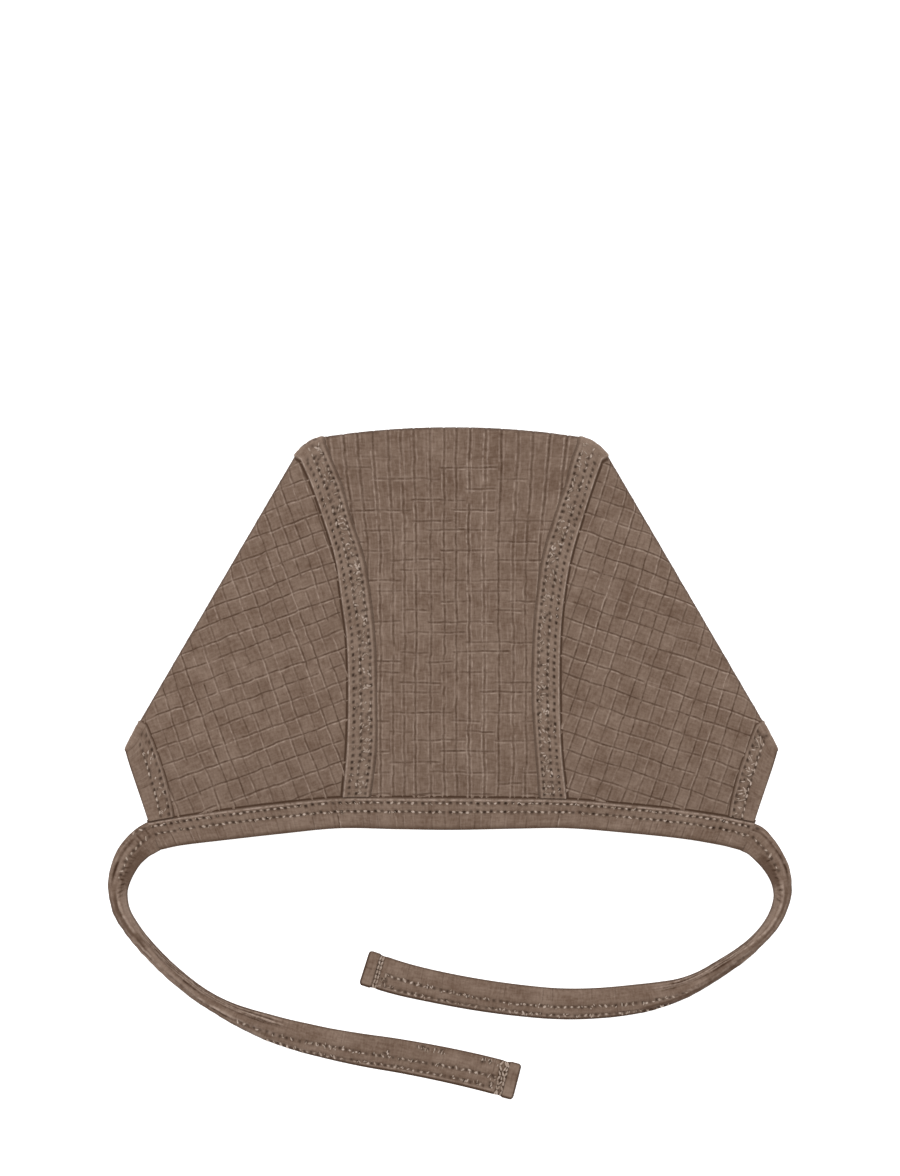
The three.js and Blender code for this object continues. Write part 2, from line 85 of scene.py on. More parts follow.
# The neck binding: y of its upper and lower edge at each x
NECK_COLUMNS = ("x", "top", "bottom")
NECK = (
    (-0.115, -0.0682, -0.08),
    (-0.1077, -0.0667, -0.078),
    (-0.1, -0.0653, -0.0762),
    (-0.085, -0.0629, -0.0742),
    (-0.063, -0.06, -0.0716),
    (-0.041, -0.0579, -0.0695),
    (-0.02, -0.0578, -0.0698),
    (0, -0.0579, -0.0701),
    (0.025, -0.0581, -0.0696),
    (0.043, -0.0585, -0.0695),
    (0.063, -0.0602, -0.0711),
    (0.085, -0.0626, -0.0735),
    (0.1, -0.065, -0.0762),
    (0.1077, -0.0667, -0.0783),
    (0.115, -0.0682, -0.08),
)
NECK_WIDTH = 0.0115
NECK_END = {"top": 0.1125, "bottom": 0.1075}  # x of its slanted ends
NECK_JOINTS = (-0.0403, 0.0412)  # where the outer edges of the seams run on through the binding

# The face binding
FACE_CORNER = (0.1208, -0.0413)  # where its free edge meets the side fold
FACE_FOOT = {"inner": 0.1024, "outer": 0.1122}  # x of its end on the neck binding
FACE_BOW = 0.0014  # how far its inner edge bows towards the middle
FACE_OUTER, FACE_INNER = -0.014, -0.0026  # y of its edges in the middle of the lower layer
FACE_ROUND = 0.025  # how widely it turns there
FACE_WIDTH = 0.0112

# The ties: the strap, and the middle line of each on the floor from the neck binding to its end
TIE_WIDTH = 0.0122
TIE_THICKNESS = 0.0021
TIE_CAP = {"length": 0.0046, "thickness": 0.0026, "wider": 1.04, "rounding": 0.0013}  # turned-in end
LEFT_ROUTE = (
    (-0.1105, -0.073), (-0.1124, -0.0741), (-0.1155, -0.0763), (-0.1193, -0.0805), (-0.1221, -0.0863),
    (-0.1234, -0.0916), (-0.1231, -0.0967), (-0.1218, -0.1013), (-0.1184, -0.107), (-0.1139, -0.1128),
    (-0.1083, -0.1188), (-0.1017, -0.1248), (-0.0941, -0.1308), (-0.0861, -0.1358), (-0.078, -0.1398),
    (-0.0634, -0.1451), (-0.0486, -0.149), (-0.0338, -0.152), (-0.019, -0.1544), (-0.0042, -0.1572),
    (0.0106, -0.1605), (0.0244, -0.1641),
)
RIGHT_ROUTE = (
    (0.1103, -0.0735), (0.1122, -0.0744), (0.1145, -0.0765), (0.118, -0.0807), (0.1208, -0.0854),
    (0.1222, -0.0898), (0.1226, -0.094), (0.1218, -0.0985), (0.1199, -0.103), (0.1173, -0.107),
    (0.1137, -0.111), (0.1095, -0.1149), (0.1044, -0.1187), (0.0989, -0.1223), (0.0922, -0.1263),
    (0.0848, -0.1295), (0.0774, -0.1315), (0.0699, -0.133), (0.0551, -0.1347), (0.0403, -0.135),
    (0.0255, -0.1338), (0.0106, -0.1318), (-0.0042, -0.1291), (-0.019, -0.1257), (-0.0323, -0.1215),
)
# Lengthwise creases in a bend: distance from the stitched edge, depth in relief and painted shade,
# brightness of the painted highlight on the ridge beside it, and where along the strap they begin and end
TIE_PLEATS = (
    (1.3 * MM, 1.0, 0.9, 0.044, 0.105), (2.8 * MM, 1.5, 0.3, -0.008, 0.026),
    (3.3 * MM, 0.95, 0.9, 0.044, 0.112), (4.4 * MM, 0.6, 0.3, 0.021, 0.08),
    (6.6 * MM, 1.0, 0.8, 0.05, 0.112), (8.0 * MM, 1.0, 1.0, 0.044, 0.114),
    (9.4 * MM, 1.1, 1.0, 0.04, 0.112), (10.9 * MM, 0.9, 0.8, 0.044, 0.108),
)
PLEATS_EARLIER = {-1: 0.0, 1: 0.02}  # how much sooner the long creases end on each tie
WRINKLES_FROM = {-1: 1 * MM, 1: 9.5 * MM}  # where the short wrinkles of the first bend begin
# The painted highlight along the fold of the strap: where it starts and stops, and how far it
# wanders towards the plain edge between two places
TIE_FOLD_HIGHLIGHT = {-1: (0.022, 0.045, 0.03, 0.05, 0.5 * MM), 1: (0.018, 0.074, 0.034, 0.07, 2.6 * MM)}
# Slopes of the bent strap that lie in shade or in light: where along the strap they start and
# stop, from where to where across, and how much deeper (-) or paler (+) the cloth looks
TIE_SHADES = {
    -1: (
        (0.004, 0.026, 5.9 * MM, 13 * MM, -5), (0.027, 0.05, 6.0 * MM, 13 * MM, 4),
        (0.025, 0.045, 0.9 * MM, 5.2 * MM, -4.5), (0.074, 0.101, -1 * MM, 3.0 * MM, -10),
        (0.041, 0.05, 4.4 * MM, 7.6 * MM, -6),
    ),
    1: (
        (0.006, 0.024, 5.9 * MM, 13 * MM, -7), (0.025, 0.06, 6.0 * MM, 13 * MM, 2.5),
        (0.018, 0.04, 0.6 * MM, 5.2 * MM, -3), (0.036, 0.07, 0.6 * MM, 7.0 * MM, -3.5),
        (0.054, 0.096, -1 * MM, 3.6 * MM, -10),
    ),
}

# Lean in degrees of the strap's two halves against each other, by the distance along it
LEFT_CREASE = (
    (0, 8), (0.004, 24), (0.009, 32), (0.014, 39), (0.018, 45.5), (0.022, 51), (0.026, 57), (0.03, 60),
    (0.038, 63), (0.058, 65.5), (0.078, 64.5), (0.086, 60), (0.094, 51.5), (0.102, 42), (0.11, 35),
    (0.118, 28), (0.126, 24), (0.134, 17), (0.142, 9), (0.15, 0), (0.21, 0),
)
RIGHT_CREASE = (
    (0, 12), (0.004, 27), (0.009, 35.5), (0.012, 41), (0.016, 46), (0.02, 53), (0.024, 57.5), (0.028, 62),
    (0.038, 66), (0.046, 68), (0.054, 65.5), (0.062, 62.5), (0.07, 60), (0.078, 53), (0.086, 42.5),
    (0.094, 31), (0.102, 25.5), (0.11, 23), (0.126, 20), (0.15, 15), (0.174, 10), (0.198, 0), (0.21, 0),
)

# Rows of stitches across each end: distance before the cap, slant
TIE_BARS = {
    -1: ((0.3 * MM, 0.0), (1.4 * MM, 0.07), (2.5 * MM, -0.05)), 1: ((0.4 * MM, 0.05), (1.35 * MM, 0.05)),
}
# Loose stitches of each tie: where they start and stop before the cap, from where to where
# across, and how many to a stitch length
TIE_LOOSE = {
    -1: (
        (35 * MM, 23 * MM, 9.6 * MM, 11.2 * MM, 2.6), (11 * MM, 4 * MM, 9.8 * MM, 11.4 * MM, 3.0),
        (46 * MM, 44 * MM, 5.6 * MM, 7.6 * MM, 5.0), (6 * MM, 3.4 * MM, 1.8 * MM, 5.6 * MM, 4.0),
    ),
    1: ((4.8 * MM, 2.2 * MM, 1.4 * MM, 5.4 * MM, 7.0),),
}
# Where each tie (-1 left, 1 right) begins to lie a little wider, and by what share at its end
TIE_FLARE = {-1: (0.125, 0.08), 1: (0.17, 0.05)}
# Where its outer and inner rows of stitches turn out of sight, and where they show again
TIE_HIDDEN = {-1: ((0.007, 0.022), (0.103, 0.09)), 1: ((0.004, 0.019), (0.082, 0.075))}
# How far further in from the stitched edge the rows lie, by the distance along
TIE_DRIFT = {
    -1: (
        ((0.04, 0), (0.105, 0), (0.14, 0.3 * MM), (0.2, 0.4 * MM)),
        ((0.04, 0), (0.085, -1.5 * MM), (0.107, -1.2 * MM), (0.13, -0.2 * MM), (0.155, 0), (0.18, 0.8 * MM)),
    ),
    1: (
        ((0.04, 0), (0.088, 0), (0.105, 0.4 * MM), (0.15, 0.35 * MM), (0.185, 0.1 * MM)),
        (
            (0.04, 0), (0.075, -1.5 * MM), (0.092, -1.1 * MM), (0.11, -0.5 * MM), (0.15, -0.4 * MM),
            (0.185, 0.7 * MM),
        ),
    ),
}

# Cloth and thread
WALL = 1.15 * MM  # jersey of a panel
UNDER_BAND = 1.5 * MM  # how far a panel runs on under the bands round it
ABOVE_STITCHES = 0.06 * MM  # height of the lowest cloth of the bands, held up by their stitches
ABOVE_BANDS = 0.14 * MM  # height of the lowest cloth of the panels, held up by the bands
SEAM_RAISE, SEAM_DEPTH = 0.75 * MM, 1.5 * MM
BINDING_RAISE, BINDING_DEPTH = 0.7 * MM, 1.7 * MM
STITCH = 2.5 * MM  # length of a cover stitch
THREAD = 0.3 * MM  # radius of a cover stitch of loosely spun sewing thread
LINE = 0.38 * MM  # half the width of a dropped-needle groove, and of the drawn threads beside it
FAR = 1.2 * MM  # distance from a line where nothing of it is left
JOG = 0.16 * MM  # how far a line steps aside from cell to cell
BEND, BENDS = 0.2 * MM, (16 * MM, 60 * MM)  # how far a line bends, and the lengths of its bends
JOLT, JOLTS = 0.08 * MM, (4 * MM, 9 * MM)  # the same for its small unevenness
CROWN_SHADE = {"from": 30 * MM, "over": 30 * MM, "tone": 2.2}  # painted shade: the centre panel is darker towards the crown
# Lean of the columns of the centre panel towards the crown: from where, full from where, and its size
FAN = {"from": 0.026, "full": 0.04, "to": 0.08, "at": 0.036, "lean": 0.13}
GROOVE_DEPTH, THREAD_HEIGHT = 0.17 * MM, 0.09 * MM
FOLD_SHADE = {"depth": 0.85, "from": 0.23, "in": 0.11, "to": 0.75, "out": 0.25}  # painted shade where the cloth turns round the fold, by the share round it
# Section of a sewn strip, as shares of how far it stands up
FOOT, RIDGE, CHANNEL, PRESSED = 0.06, 0.22, 0.28, 0.12
BAND_RELIEF = {"pucker": 0.07 * MM, "hole": 0.4 * MM, "foot": 0.3 * MM}
TIE_RELIEF = {
    "pucker": 0.06 * MM, "hole": 0.32 * MM, "bar": 0.2 * MM, "pleat": 0.3 * MM, "glint": 0.2 * MM,
    "channel": 0.2,
}

# Camera and light
LENS, SENSOR = 120, 36
PICTURE = (900, 1176)
PIXEL = 0.37 * MM  # real size of one picture point at the height of the folds
MIDDLE = (451.4, 639.5)  # picture point of the origin
FOLD_HEIGHT = 3.5 * MM  # where the outline of the bonnet lies


def ease(t):
    t = np.clip(t, 0, 1)
    return t * t * (3 - 2 * t)


def lerp(a, b, t):
    return a + (b - a) * t


def plan(*coordinates):
    return np.stack(np.broadcast_arrays(*coordinates), -1)


def curve_through(keys, values):
    """A smooth line through the rows of a table, as a French curve draws it"""
    order = np.argsort(keys)
    keys, values = np.asarray(keys, float)[order], np.asarray(values, float)[order]
    ahead = np.minimum(np.arange(len(keys)) + 1, len(keys) - 1)
    behind = np.maximum(np.arange(len(keys)) - 1, 0)
    slopes = (values[ahead] - values[behind]) / (keys[ahead] - keys[behind])

    def read(at):
        at = np.asarray(at, float)
        i = np.clip(np.searchsorted(keys, at, side="right") - 1, 0, len(keys) - 2)
        span = keys[i + 1] - keys[i]
        t = np.clip((at - keys[i]) / span, 0, 1)
        bend = t * (1 - t) * span
        return lerp(values[i], values[i + 1], ease(t)) + bend * ((1 - t) * slopes[i] - t * slopes[i + 1])

    return read


def table_line(rows, names, name):
    """A smooth line through one column of a table, against its first column"""
    return curve_through([row[0] for row in rows], [row[names.index(name)] for row in rows])


def bell(off, width, power=2):
    """1 in the middle of a line, and softly down to 0 beside it"""
    return np.exp(-((off / width) ** power))


def ripples(seed, shortest, longest, count=9):
    """Soft uneven waves over the plan, from about -1 to 1"""
    rng = np.random.default_rng(seed)
    angle = rng.uniform(0, 2 * math.pi, count)
    size = 2 * math.pi / rng.uniform(shortest, longest, count)
    phase = rng.uniform(0, 2 * math.pi, count)

    def read(x, y):
        total = 0
        for a, k, p in zip(angle, size, phase):
            total = total + np.sin(k * (x * math.cos(a) + y * math.sin(a)) + p)
        return total / math.sqrt(count)

    return read


neck_top, neck_bottom = [table_line(NECK, NECK_COLUMNS, edge) for edge in ("top", "bottom")]


# The fold and the height of the cloth

def fold_at(side, distance):
    """Points of the fold line, inside its rounding, and the direction that the fold faces there"""
    left = np.asarray(distance, float)
    heading = np.zeros_like(left)
    x = np.zeros_like(left)
    y = np.full_like(left, CROWN_Y)
    for length, turn in FOLD_RUNS:
        run = np.maximum(left, 0)
        if length != FOLD_RUNS[-1][0]:
            run = np.minimum(run, length)
        angle = math.radians(turn) * run / length
        chord = run * np.sinc(angle / 2 / math.pi)
        x = x + chord * np.cos(heading + angle / 2)
        y = y - chord * np.sin(heading + angle / 2)
        heading = heading + angle
        left = left - run
    outward = plan(side * np.sin(heading), np.cos(heading))
    return plan(side * x, y) - outward * FOLD_RADIUS, outward


def inside(x, y, point, outward):
    """Distance inside a straight edge through a point"""
    return (point[0] - x) * outward[0] + (point[1] - y) * outward[1]


SIDE_LINE, SIDE_OUTWARD = fold_at(1, SEAM_END + MM)
SIDE_POINT = SIDE_LINE + SIDE_OUTWARD * FOLD_RADIUS
FACE_EDGE = np.array([FACE_CORNER[0] - FACE_FOOT["outer"], FACE_CORNER[1] - neck_top(FACE_FOOT["outer"])])
FACE_OUTWARD = np.array([FACE_EDGE[1], -FACE_EDGE[0]]) / np.hypot(*FACE_EDGE)
softly_waved = ripples(11, 22 * MM, 55 * MM)
WAVE = 0.12 * MM


def cloth_height(x, y):
    """Height of the outer face of the upper layer"""
    def swell(distance, reach):
        return 1 - np.exp(-np.maximum(distance, 0) / reach)

    rise = LOFT * swell(CROWN_RADIUS - np.hypot(x, y - (CROWN_Y - CROWN_RADIUS)), SWELL_REACH)
    for side in (-1, 1):
        rise = rise * swell(inside(side * x, y, SIDE_POINT, SIDE_OUTWARD), SWELL_REACH)
        rise = rise * swell(inside(side * x, y, FACE_CORNER, FACE_OUTWARD), CORNER_REACH)
    rise = rise * (1 - NECK_DIP * np.exp(-np.maximum(y - neck_bottom(x), 0) / NECK_REACH))
    settled = ease((SETTLE_FROM - y) / (SETTLE_FROM - SETTLE_TO))
    flat = lerp(2 * FOLD_RADIUS, REST_HEIGHT, settled)
    return flat + rise + WAVE * softly_waved(x, y) * np.minimum(rise / (4 * MM), 1)


# Lines that the pieces meet at

def seam_reader(side, edge):
    return table_line(SEAMS, SEAM_COLUMNS, ("left_" if side < 0 else "right_") + edge)


def seam_edge(side, edge, shift):
    """One edge of a seam on the upper layer, from the neck (0) to the fold (1)"""
    read = seam_reader(side, edge)
    fold = fold_at(side, (SEAM_START if edge == "inner" else SEAM_END) + shift)[0]
    foot = neck_top(side * (read(SEAMS[-1][0]) + shift)) + GAP / 2
    miss = fold[0] - side * (read(fold[1]) + shift)

    def line(v):
        y = lerp(foot, fold[1], v)
        return plan(side * (read(y) + shift) + v * v * miss, y)

    return line


def face_curve(middle, corner):
    def bow(x):
        return np.hypot(x, FACE_ROUND) - FACE_ROUND

    return lambda x: middle + (corner[1] - middle) * bow(x) / bow(corner[0])


inner_curve = face_curve(FACE_INNER, fold_at(1, SIDE_END)[0])
outer_curve = face_curve(FACE_OUTER, fold_at(1, FOLD_END)[0])


def lower_seam_edge(side, edge, shift):
    fold = fold_at(side, (SEAM_START if edge == "inner" else SEAM_END) + shift)[0]
    x = side * (LOWER_SEAM[edge] + shift)
    return lambda v: plan(lerp(fold[0], x, v), lerp(fold[1], inner_curve(x) + GAP / 2, v))


def face_inner_edge(side, shift):
    """Inner edge of the face binding on the upper layer, from the neck (0) to the fold (1)"""
    fold = fold_at(side, SIDE_END + shift)[0]
    x = side * (FACE_FOOT["inner"] + shift)
    y = neck_top(x) + GAP / 2
    return lambda t: plan(lerp(x, fold[0], t) - side * FACE_BOW * 4 * t * (1 - t), lerp(y, fold[1], t))


def between(near, far, first, last):
    """A plan patch between four curves: near and far run over f, first and last over v"""
    zero, one = np.zeros(1), np.ones(1)

    def patch(f, v):
        across, along = f[..., None], v[..., None]
        low = lerp(near(zero)[0], near(one)[0], across)
        high = lerp(far(zero)[0], far(one)[0], across)
        return lerp(near(f), far(f), along) + lerp(first(v), last(v), across) - lerp(low, high, along)

    return patch


def over_the_fold(upper, lower, fold):
    """A surface that crosses the fold: way 0 to 1 above, 1 to 2 round it, 2 to 3 below"""
    def surface(f, way):
        f, way = np.broadcast_arrays(np.asarray(f, float), np.asarray(way, float))
        line, reach = fold(f)
        angle = math.pi * (1.5 - np.clip(way, 1, 2))
        turned = line + reach * np.cos(angle)[..., None]
        above = upper(f, np.clip(way, 0, 1))
        below = lower(f, np.clip(way - 2, 0, 1))
        is_above, is_below = way <= 1, way >= 2
        flat = np.where(is_above[..., None], above, np.where(is_below[..., None], below, turned))
        edge = cloth_height(line[..., 0], line[..., 1]) * (1 + np.sin(angle)) / 2
        height = np.where(is_above, cloth_height(above[..., 0], above[..., 1]), edge)
        return np.concatenate([flat, np.where(is_below, 0, height)[..., None]], -1)

    return surface


# Drawing on the cloth: mesh pieces with painted fields

def set_down(name, data):
    made = bpy.data.objects.new(name, data)
    bpy.context.scene.collection.objects.link(made)
    return made


def piece(name, points, faces, material, slot, **fields):
    """A closed mesh piece with its painted fields, riding on the frame"""
    mesh = bpy.data.meshes.new(name)
    mesh.from_pydata(points.tolist(), [], faces)
    for field, values in fields.items():
        kind = "FLOAT_VECTOR" if values.ndim == 2 else "FLOAT"
        layer = mesh.attributes.new(field, kind, "POINT")
        layer.data.foreach_set("vector" if values.ndim == 2 else "value", values.ravel())
    mesh.polygons.foreach_set("use_smooth", np.ones(len(faces), bool))
    mesh.materials.append(material)
    made = set_down(name, mesh)
    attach(made, BODY)
    return made


def top_only(under, **fields):
    """Painted fields of the top of a piece, and nothing for the points of its underside"""
    return {
        name: np.concatenate([
            values.reshape(-1, *values.shape[2:]), np.zeros((under, *values.shape[2:])),
        ])
        for name, values in fields.items()
    }


def facing_out(points, faces):
    """The faces turned so that the closed mesh they make has its outside out"""
    triangles = np.array([(f[0], f[k], f[k + 1]) for f in faces for k in range(1, len(f) - 1)])
    a, b, c = points[triangles[:, 0]], points[triangles[:, 1]], points[triangles[:, 2]]
    volume = np.einsum("ij,ij->i", a, np.cross(b, c)).sum()
    return faces if volume > 0 else [list(reversed(f)) for f in faces]


def normals_of(surface, a, b, step):
    """Normals of a surface of two arguments, on the side where they run anticlockwise"""
    along_a = surface(a + step, b) - surface(a - step, b)
    along_b = surface(a, b + step) - surface(a, b - step)
    normal = np.cross(along_a, along_b)
    return normal / np.linalg.norm(normal, axis=-1, keepdims=True)


def ruling(lines, start, stop, other=1.0, finer=1.0, longest=1.5 * MM):
    """Stations across a set of lines: place, distance from the line, number of the line, and the
    share of its drawn thread that shows there, where the thread on the far side may be weaker"""
    rows = [(start, FAR, -1, 0), (stop, FAR, -1, 0)]
    for number, at in enumerate(lines):
        for step in range(-2, 3):
            share = lerp(1, other, (np.sign(step) + 1) / 2)
            rows.append((at + step * LINE / finer, abs(step) * LINE, number, share))
    rows.sort()
    filled = []
    for here, following in zip(rows, rows[1:]):
        filled.append(here)
        count = math.ceil((following[0] - here[0]) / longest)
        filled += [(lerp(here[0], following[0], k / count), FAR, -1, 0) for k in range(1, count)]
    filled.append(rows[-1])
    return [np.array(values) for values in zip(*filled)]


def uneven_lines(rng, start, stop, low, high):
    lines = [start + rng.uniform(0.3, 0.7) * low]
    while lines[-1] < stop - high:
        lines.append(lines[-1] + rng.uniform(low, high))
    return np.array(lines)


def broken_runs(rng, lines, cells, shortest, longest):
    """Which stretches of each pair of neighbouring lines are drawn: the runs step from one to the other"""
    drawn = np.zeros((lines, cells))
    for first in range(0, lines, 2):
        at, turn = 0, rng.integers(0, 2)
        while at < cells:
            end = min(at + rng.integers(shortest, longest + 1), cells)
            line = first + turn
            if line < lines and rng.random() > 0.06:
                drawn[line, at:end] = rng.uniform(0.6, 1.0) * rng.uniform(0.6, 1.1, end - at)
            at, turn = end, 1 - turn
    return drawn


def whole_lines(rng, lines, cells, missing, low, high):
    """Lines that run through, stronger and weaker from cell to cell, with a few gaps"""
    strength = rng.uniform(low, high, (lines, 1)) * rng.uniform(0.75, 1.15, (lines, cells))
    return np.clip(strength, 0, 1) * (rng.random((lines, cells)) > missing)


def fanned(across, along):
    """How far the columns of the centre panel move outward, where the cloth is drawn out to the crown"""
    start = FAN["full"] - FAN["from"]
    run = np.clip(along, FAN["from"], FAN["full"]) - FAN["from"]
    straight = np.clip(along, FAN["full"], FAN["to"]) - FAN["full"]
    steepness = FAN["lean"] * (across / FAN["at"]) ** 2 * np.sign(across)
    return steepness * (run**2 / (2 * start) + straight)


def bent_lattice(across, along, column_cell, row_cell, seed):
    """The crossings of the lines, each line softly bent, and stepping aside from cell to cell"""
    steps = np.random.default_rng(seed + 5)
    cells = (column_cell.max() + 1, row_cell.max() + 1)
    bent = []
    for number, straight in enumerate((across, along), 1):
        bend, jolt = ripples(seed + number, *BENDS), ripples(seed + number + 2, *JOLTS)
        moved = straight + BEND * bend(across, along) + JOLT * jolt(across, along)
        bent.append(moved + steps.uniform(-JOG, JOG, cells)[column_cell][:, row_cell])
    return bent


def in_cells(table, line, cell):
    """How strong a line is in each cell that it passes, and 0 where there is no line"""
    line, cell = np.broadcast_arrays(line.astype(int), cell)
    found = table[np.maximum(line, 0), np.minimum(cell, table.shape[1] - 1)]
    return np.where(line < 0, 0, found)


def cut_out(flat, room):
    """The cells of a lattice inside an outline, with their rim drawn onto it: the places, the
    cells, the edges of the rim, and which places of the lattice they are"""
    size = flat[..., 0].size
    index = np.arange(size).reshape(flat.shape[:2])
    spare = room(flat)
    middle = (spare[:-1, :-1] + spare[1:, :-1] + spare[1:, 1:] + spare[:-1, 1:]) / 4
    quads = np.stack([index[:-1, :-1], index[1:, :-1], index[1:, 1:], index[:-1, 1:]], -1)[middle > 0]
    edges = np.concatenate([quads[:, [k, (k + 1) % 4]] for k in range(4)])
    rim = edges[~np.isin(edges @ (size, 1), edges @ (1, size))]
    flat = flat.reshape(-1, 2)
    border = np.unique(rim)
    for _ in range(3):
        flat[border] = onto_outline(room, flat[border])
    used = np.unique(quads)
    renumber = np.zeros(size, int)
    renumber[used] = np.arange(len(used))
    return flat[used], renumber[quads], renumber[rim], used


def checked_panel(name, material, cloth, turn, columns, rows, strengths, ribbed, seed, drawn_out=False):
    """A jersey panel: a lattice that follows the lines of the check, cut to the panel's outline,
    laid over its fold and given its thickness"""
    laid, room, past_fold = cloth
    u, far_u, line_u, side_u = [values[:, None] for values in columns]
    v, far_v, line_v, side_v = [values[None, :] for values in rows]
    column_cell, row_cell = [
        np.maximum(np.maximum.accumulate(line.ravel()).astype(int) + 1, 0) for line in (line_u, line_v)
    ]
    across, along = np.broadcast_arrays(u, v)
    bent_u, bent_v = bent_lattice(across, along, column_cell, row_cell, seed)
    if drawn_out:
        bent_u += fanned(across, along)
    cosine, sine = math.cos(math.radians(turn)), math.sin(math.radians(turn))
    flat = plan(bent_u * cosine - bent_v * sine, bent_u * sine + bent_v * cosine)

    dark_u, light_u = [in_cells(table, line_u, row_cell[None, :]) for table in strengths[:2]]
    dark_v, light_v = [in_cells(table, line_v, column_cell[:, None]) for table in strengths[2:]]
    light_u, light_v = light_u * side_u, light_v * side_v
    groove = np.maximum((far_u == 0) * dark_u, (far_v == 0) * dark_v)
    thread = np.maximum((far_u == 2 * LINE) * light_u, (far_v == 2 * LINE) * light_v)
    cells = np.random.default_rng(seed).normal(0, 1, (column_cell.max() + 1, row_cell.max() + 1))
    tone = cells[column_cell[:, None], row_cell[None, :]]
    # Painted shade, darker towards the crown
    if drawn_out:
        tone = tone - CROWN_SHADE["tone"] * ease((along - CROWN_SHADE["from"]) / CROWN_SHADE["over"])

    flat, quads, rim, used = cut_out(flat, room)
    groove, thread, tone = [values.ravel()[used] for values in (groove, thread, tone)]
    steep, level, grain = [
        plan(*three).reshape(-1, 3)[used]
        for three in ((far_u, dark_u, light_u), (far_v, dark_v, light_v), (u, v, 0.0))
    ]

    def surface(x, y):
        return laid(plan(x, y))

    # Painted shade on the cloth where it turns down round the fold
    turned = past_fold(flat) / FOLD_LENGTH
    come = ease((turned - FOLD_SHADE["from"]) / FOLD_SHADE["in"])
    rolled = FOLD_SHADE["depth"] * come * (1 - ease((turned - FOLD_SHADE["to"]) / FOLD_SHADE["out"]))
    normal = normals_of(surface, flat[:, 0], flat[:, 1], 0.05 * MM)
    base = laid(flat)
    relief = THREAD_HEIGHT * thread - GROOVE_DEPTH * groove
    points = np.concatenate([base + normal * relief[:, None], base - normal * WALL])
    points[:, 2] = np.maximum(points[:, 2], ABOVE_BANDS)
    count = len(used)
    walls = np.stack([rim[:, 1], rim[:, 0], rim[:, 0] + count, rim[:, 1] + count], -1)
    faces = np.concatenate([quads, quads[:, ::-1] + count, walls]).tolist()
    nothing = np.zeros(count)
    return piece(
        name, points, facing_out(points, faces), material, "knit_panel",
        steep_lines=np.concatenate([steep, steep]), level_lines=np.concatenate([level, level]),
        rolled=np.concatenate([rolled, nothing]), tone=np.concatenate([0.5 * tone, nothing]),
        ribbed=np.full(2 * count, ribbed), grain=np.concatenate([grain, grain]),
    )


def onto_outline(room, flat, step=0.05 * MM, most=1.2 * MM):
    """Moves points of the flat panel straight to the nearest stretch of its outline"""
    here = room(flat)
    shift = np.array([[step, 0], [0, step]])
    slope = np.stack([(room(flat + s) - room(flat - s)) / (2 * step) for s in shift], -1)
    size = np.maximum(np.sum(slope**2, -1), 0.2)
    move = -(here / size)[:, None] * slope
    length = np.linalg.norm(move, axis=-1, keepdims=True)
    return flat + move * np.minimum(1, most / np.maximum(length, 1e-9))


def laid_at(line, outward, past):
    """Where cloth lies that goes past a fold line by a distance: above, round the fold or below"""
    turn = math.pi * np.clip(past / FOLD_LENGTH, 0, 1)
    round_it = np.where(past < FOLD_LENGTH, FOLD_RADIUS * np.sin(turn), FOLD_LENGTH - past)
    reach = np.where(past < 0, past, round_it)
    spot = line + outward * reach[..., None]
    edge = cloth_height(line[..., 0], line[..., 1]) * (1 + np.cos(turn)) / 2
    height = np.where(past < 0, cloth_height(spot[..., 0], spot[..., 1]), edge)
    return np.concatenate([spot, height[..., None]], -1)


def seam_limit(side, edge):
    """Distance of a seam edge from the middle line at each y, on the upper and on the lower layer"""
    read = seam_reader(side, edge)
    fold = fold_at(side, SEAM_START if edge == "inner" else SEAM_END)[0]
    foot = neck_top(side * read(SEAMS[-1][0]))
    miss = abs(fold[0]) - read(fold[1])
    end = LOWER_SEAM[edge]
    end_y = inner_curve(end)

    def above(y):
        v = np.clip((y - foot) / (fold[1] - foot), 0, 1)
        return read(np.minimum(y, fold[1])) + v * v * miss

    def below(y):
        return lerp(abs(fold[0]), end, np.clip((fold[1] - y) / (fold[1] - end_y), 0, 1))

    return above, below


def crown_past(flat):
    away = flat - np.array([0, CROWN_Y - CROWN_RADIUS])
    radius = np.linalg.norm(away, axis=-1)
    return away / radius[..., None], radius - (CROWN_RADIUS - FOLD_RADIUS)


def laid_over_crown(flat):
    outward, past = crown_past(flat)
    line = np.array([0, CROWN_Y - CROWN_RADIUS]) + outward * (CROWN_RADIUS - FOLD_RADIUS)
    return laid_at(line, outward, past)


def centre_room(flat):
    """How far inside the cut of the centre panel a point is"""
    outward, past = crown_past(flat)
    place = laid_over_crown(flat)
    x, y = place[..., 0], place[..., 1]
    round_crown = SEAM_START - np.abs(np.arctan2(outward[..., 0], outward[..., 1])) * CROWN_RADIUS
    to_seam = np.full(x.shape, np.inf)
    for side in (-1, 1):
        above, below = seam_limit(side, "inner")
        room = np.where(past < 0, above(y), below(y)) - side * x
        room = np.where((past >= 0) & (past <= FOLD_LENGTH), round_crown, room)
        to_seam = np.where(side * x > 0, room, to_seam)
    to_neck = np.where(past < 0, y - neck_top(x), np.inf)
    to_face = np.where(past > FOLD_LENGTH, y - inner_curve(x), np.inf)
    return np.minimum(np.minimum(to_seam, to_neck), to_face) + UNDER_BAND


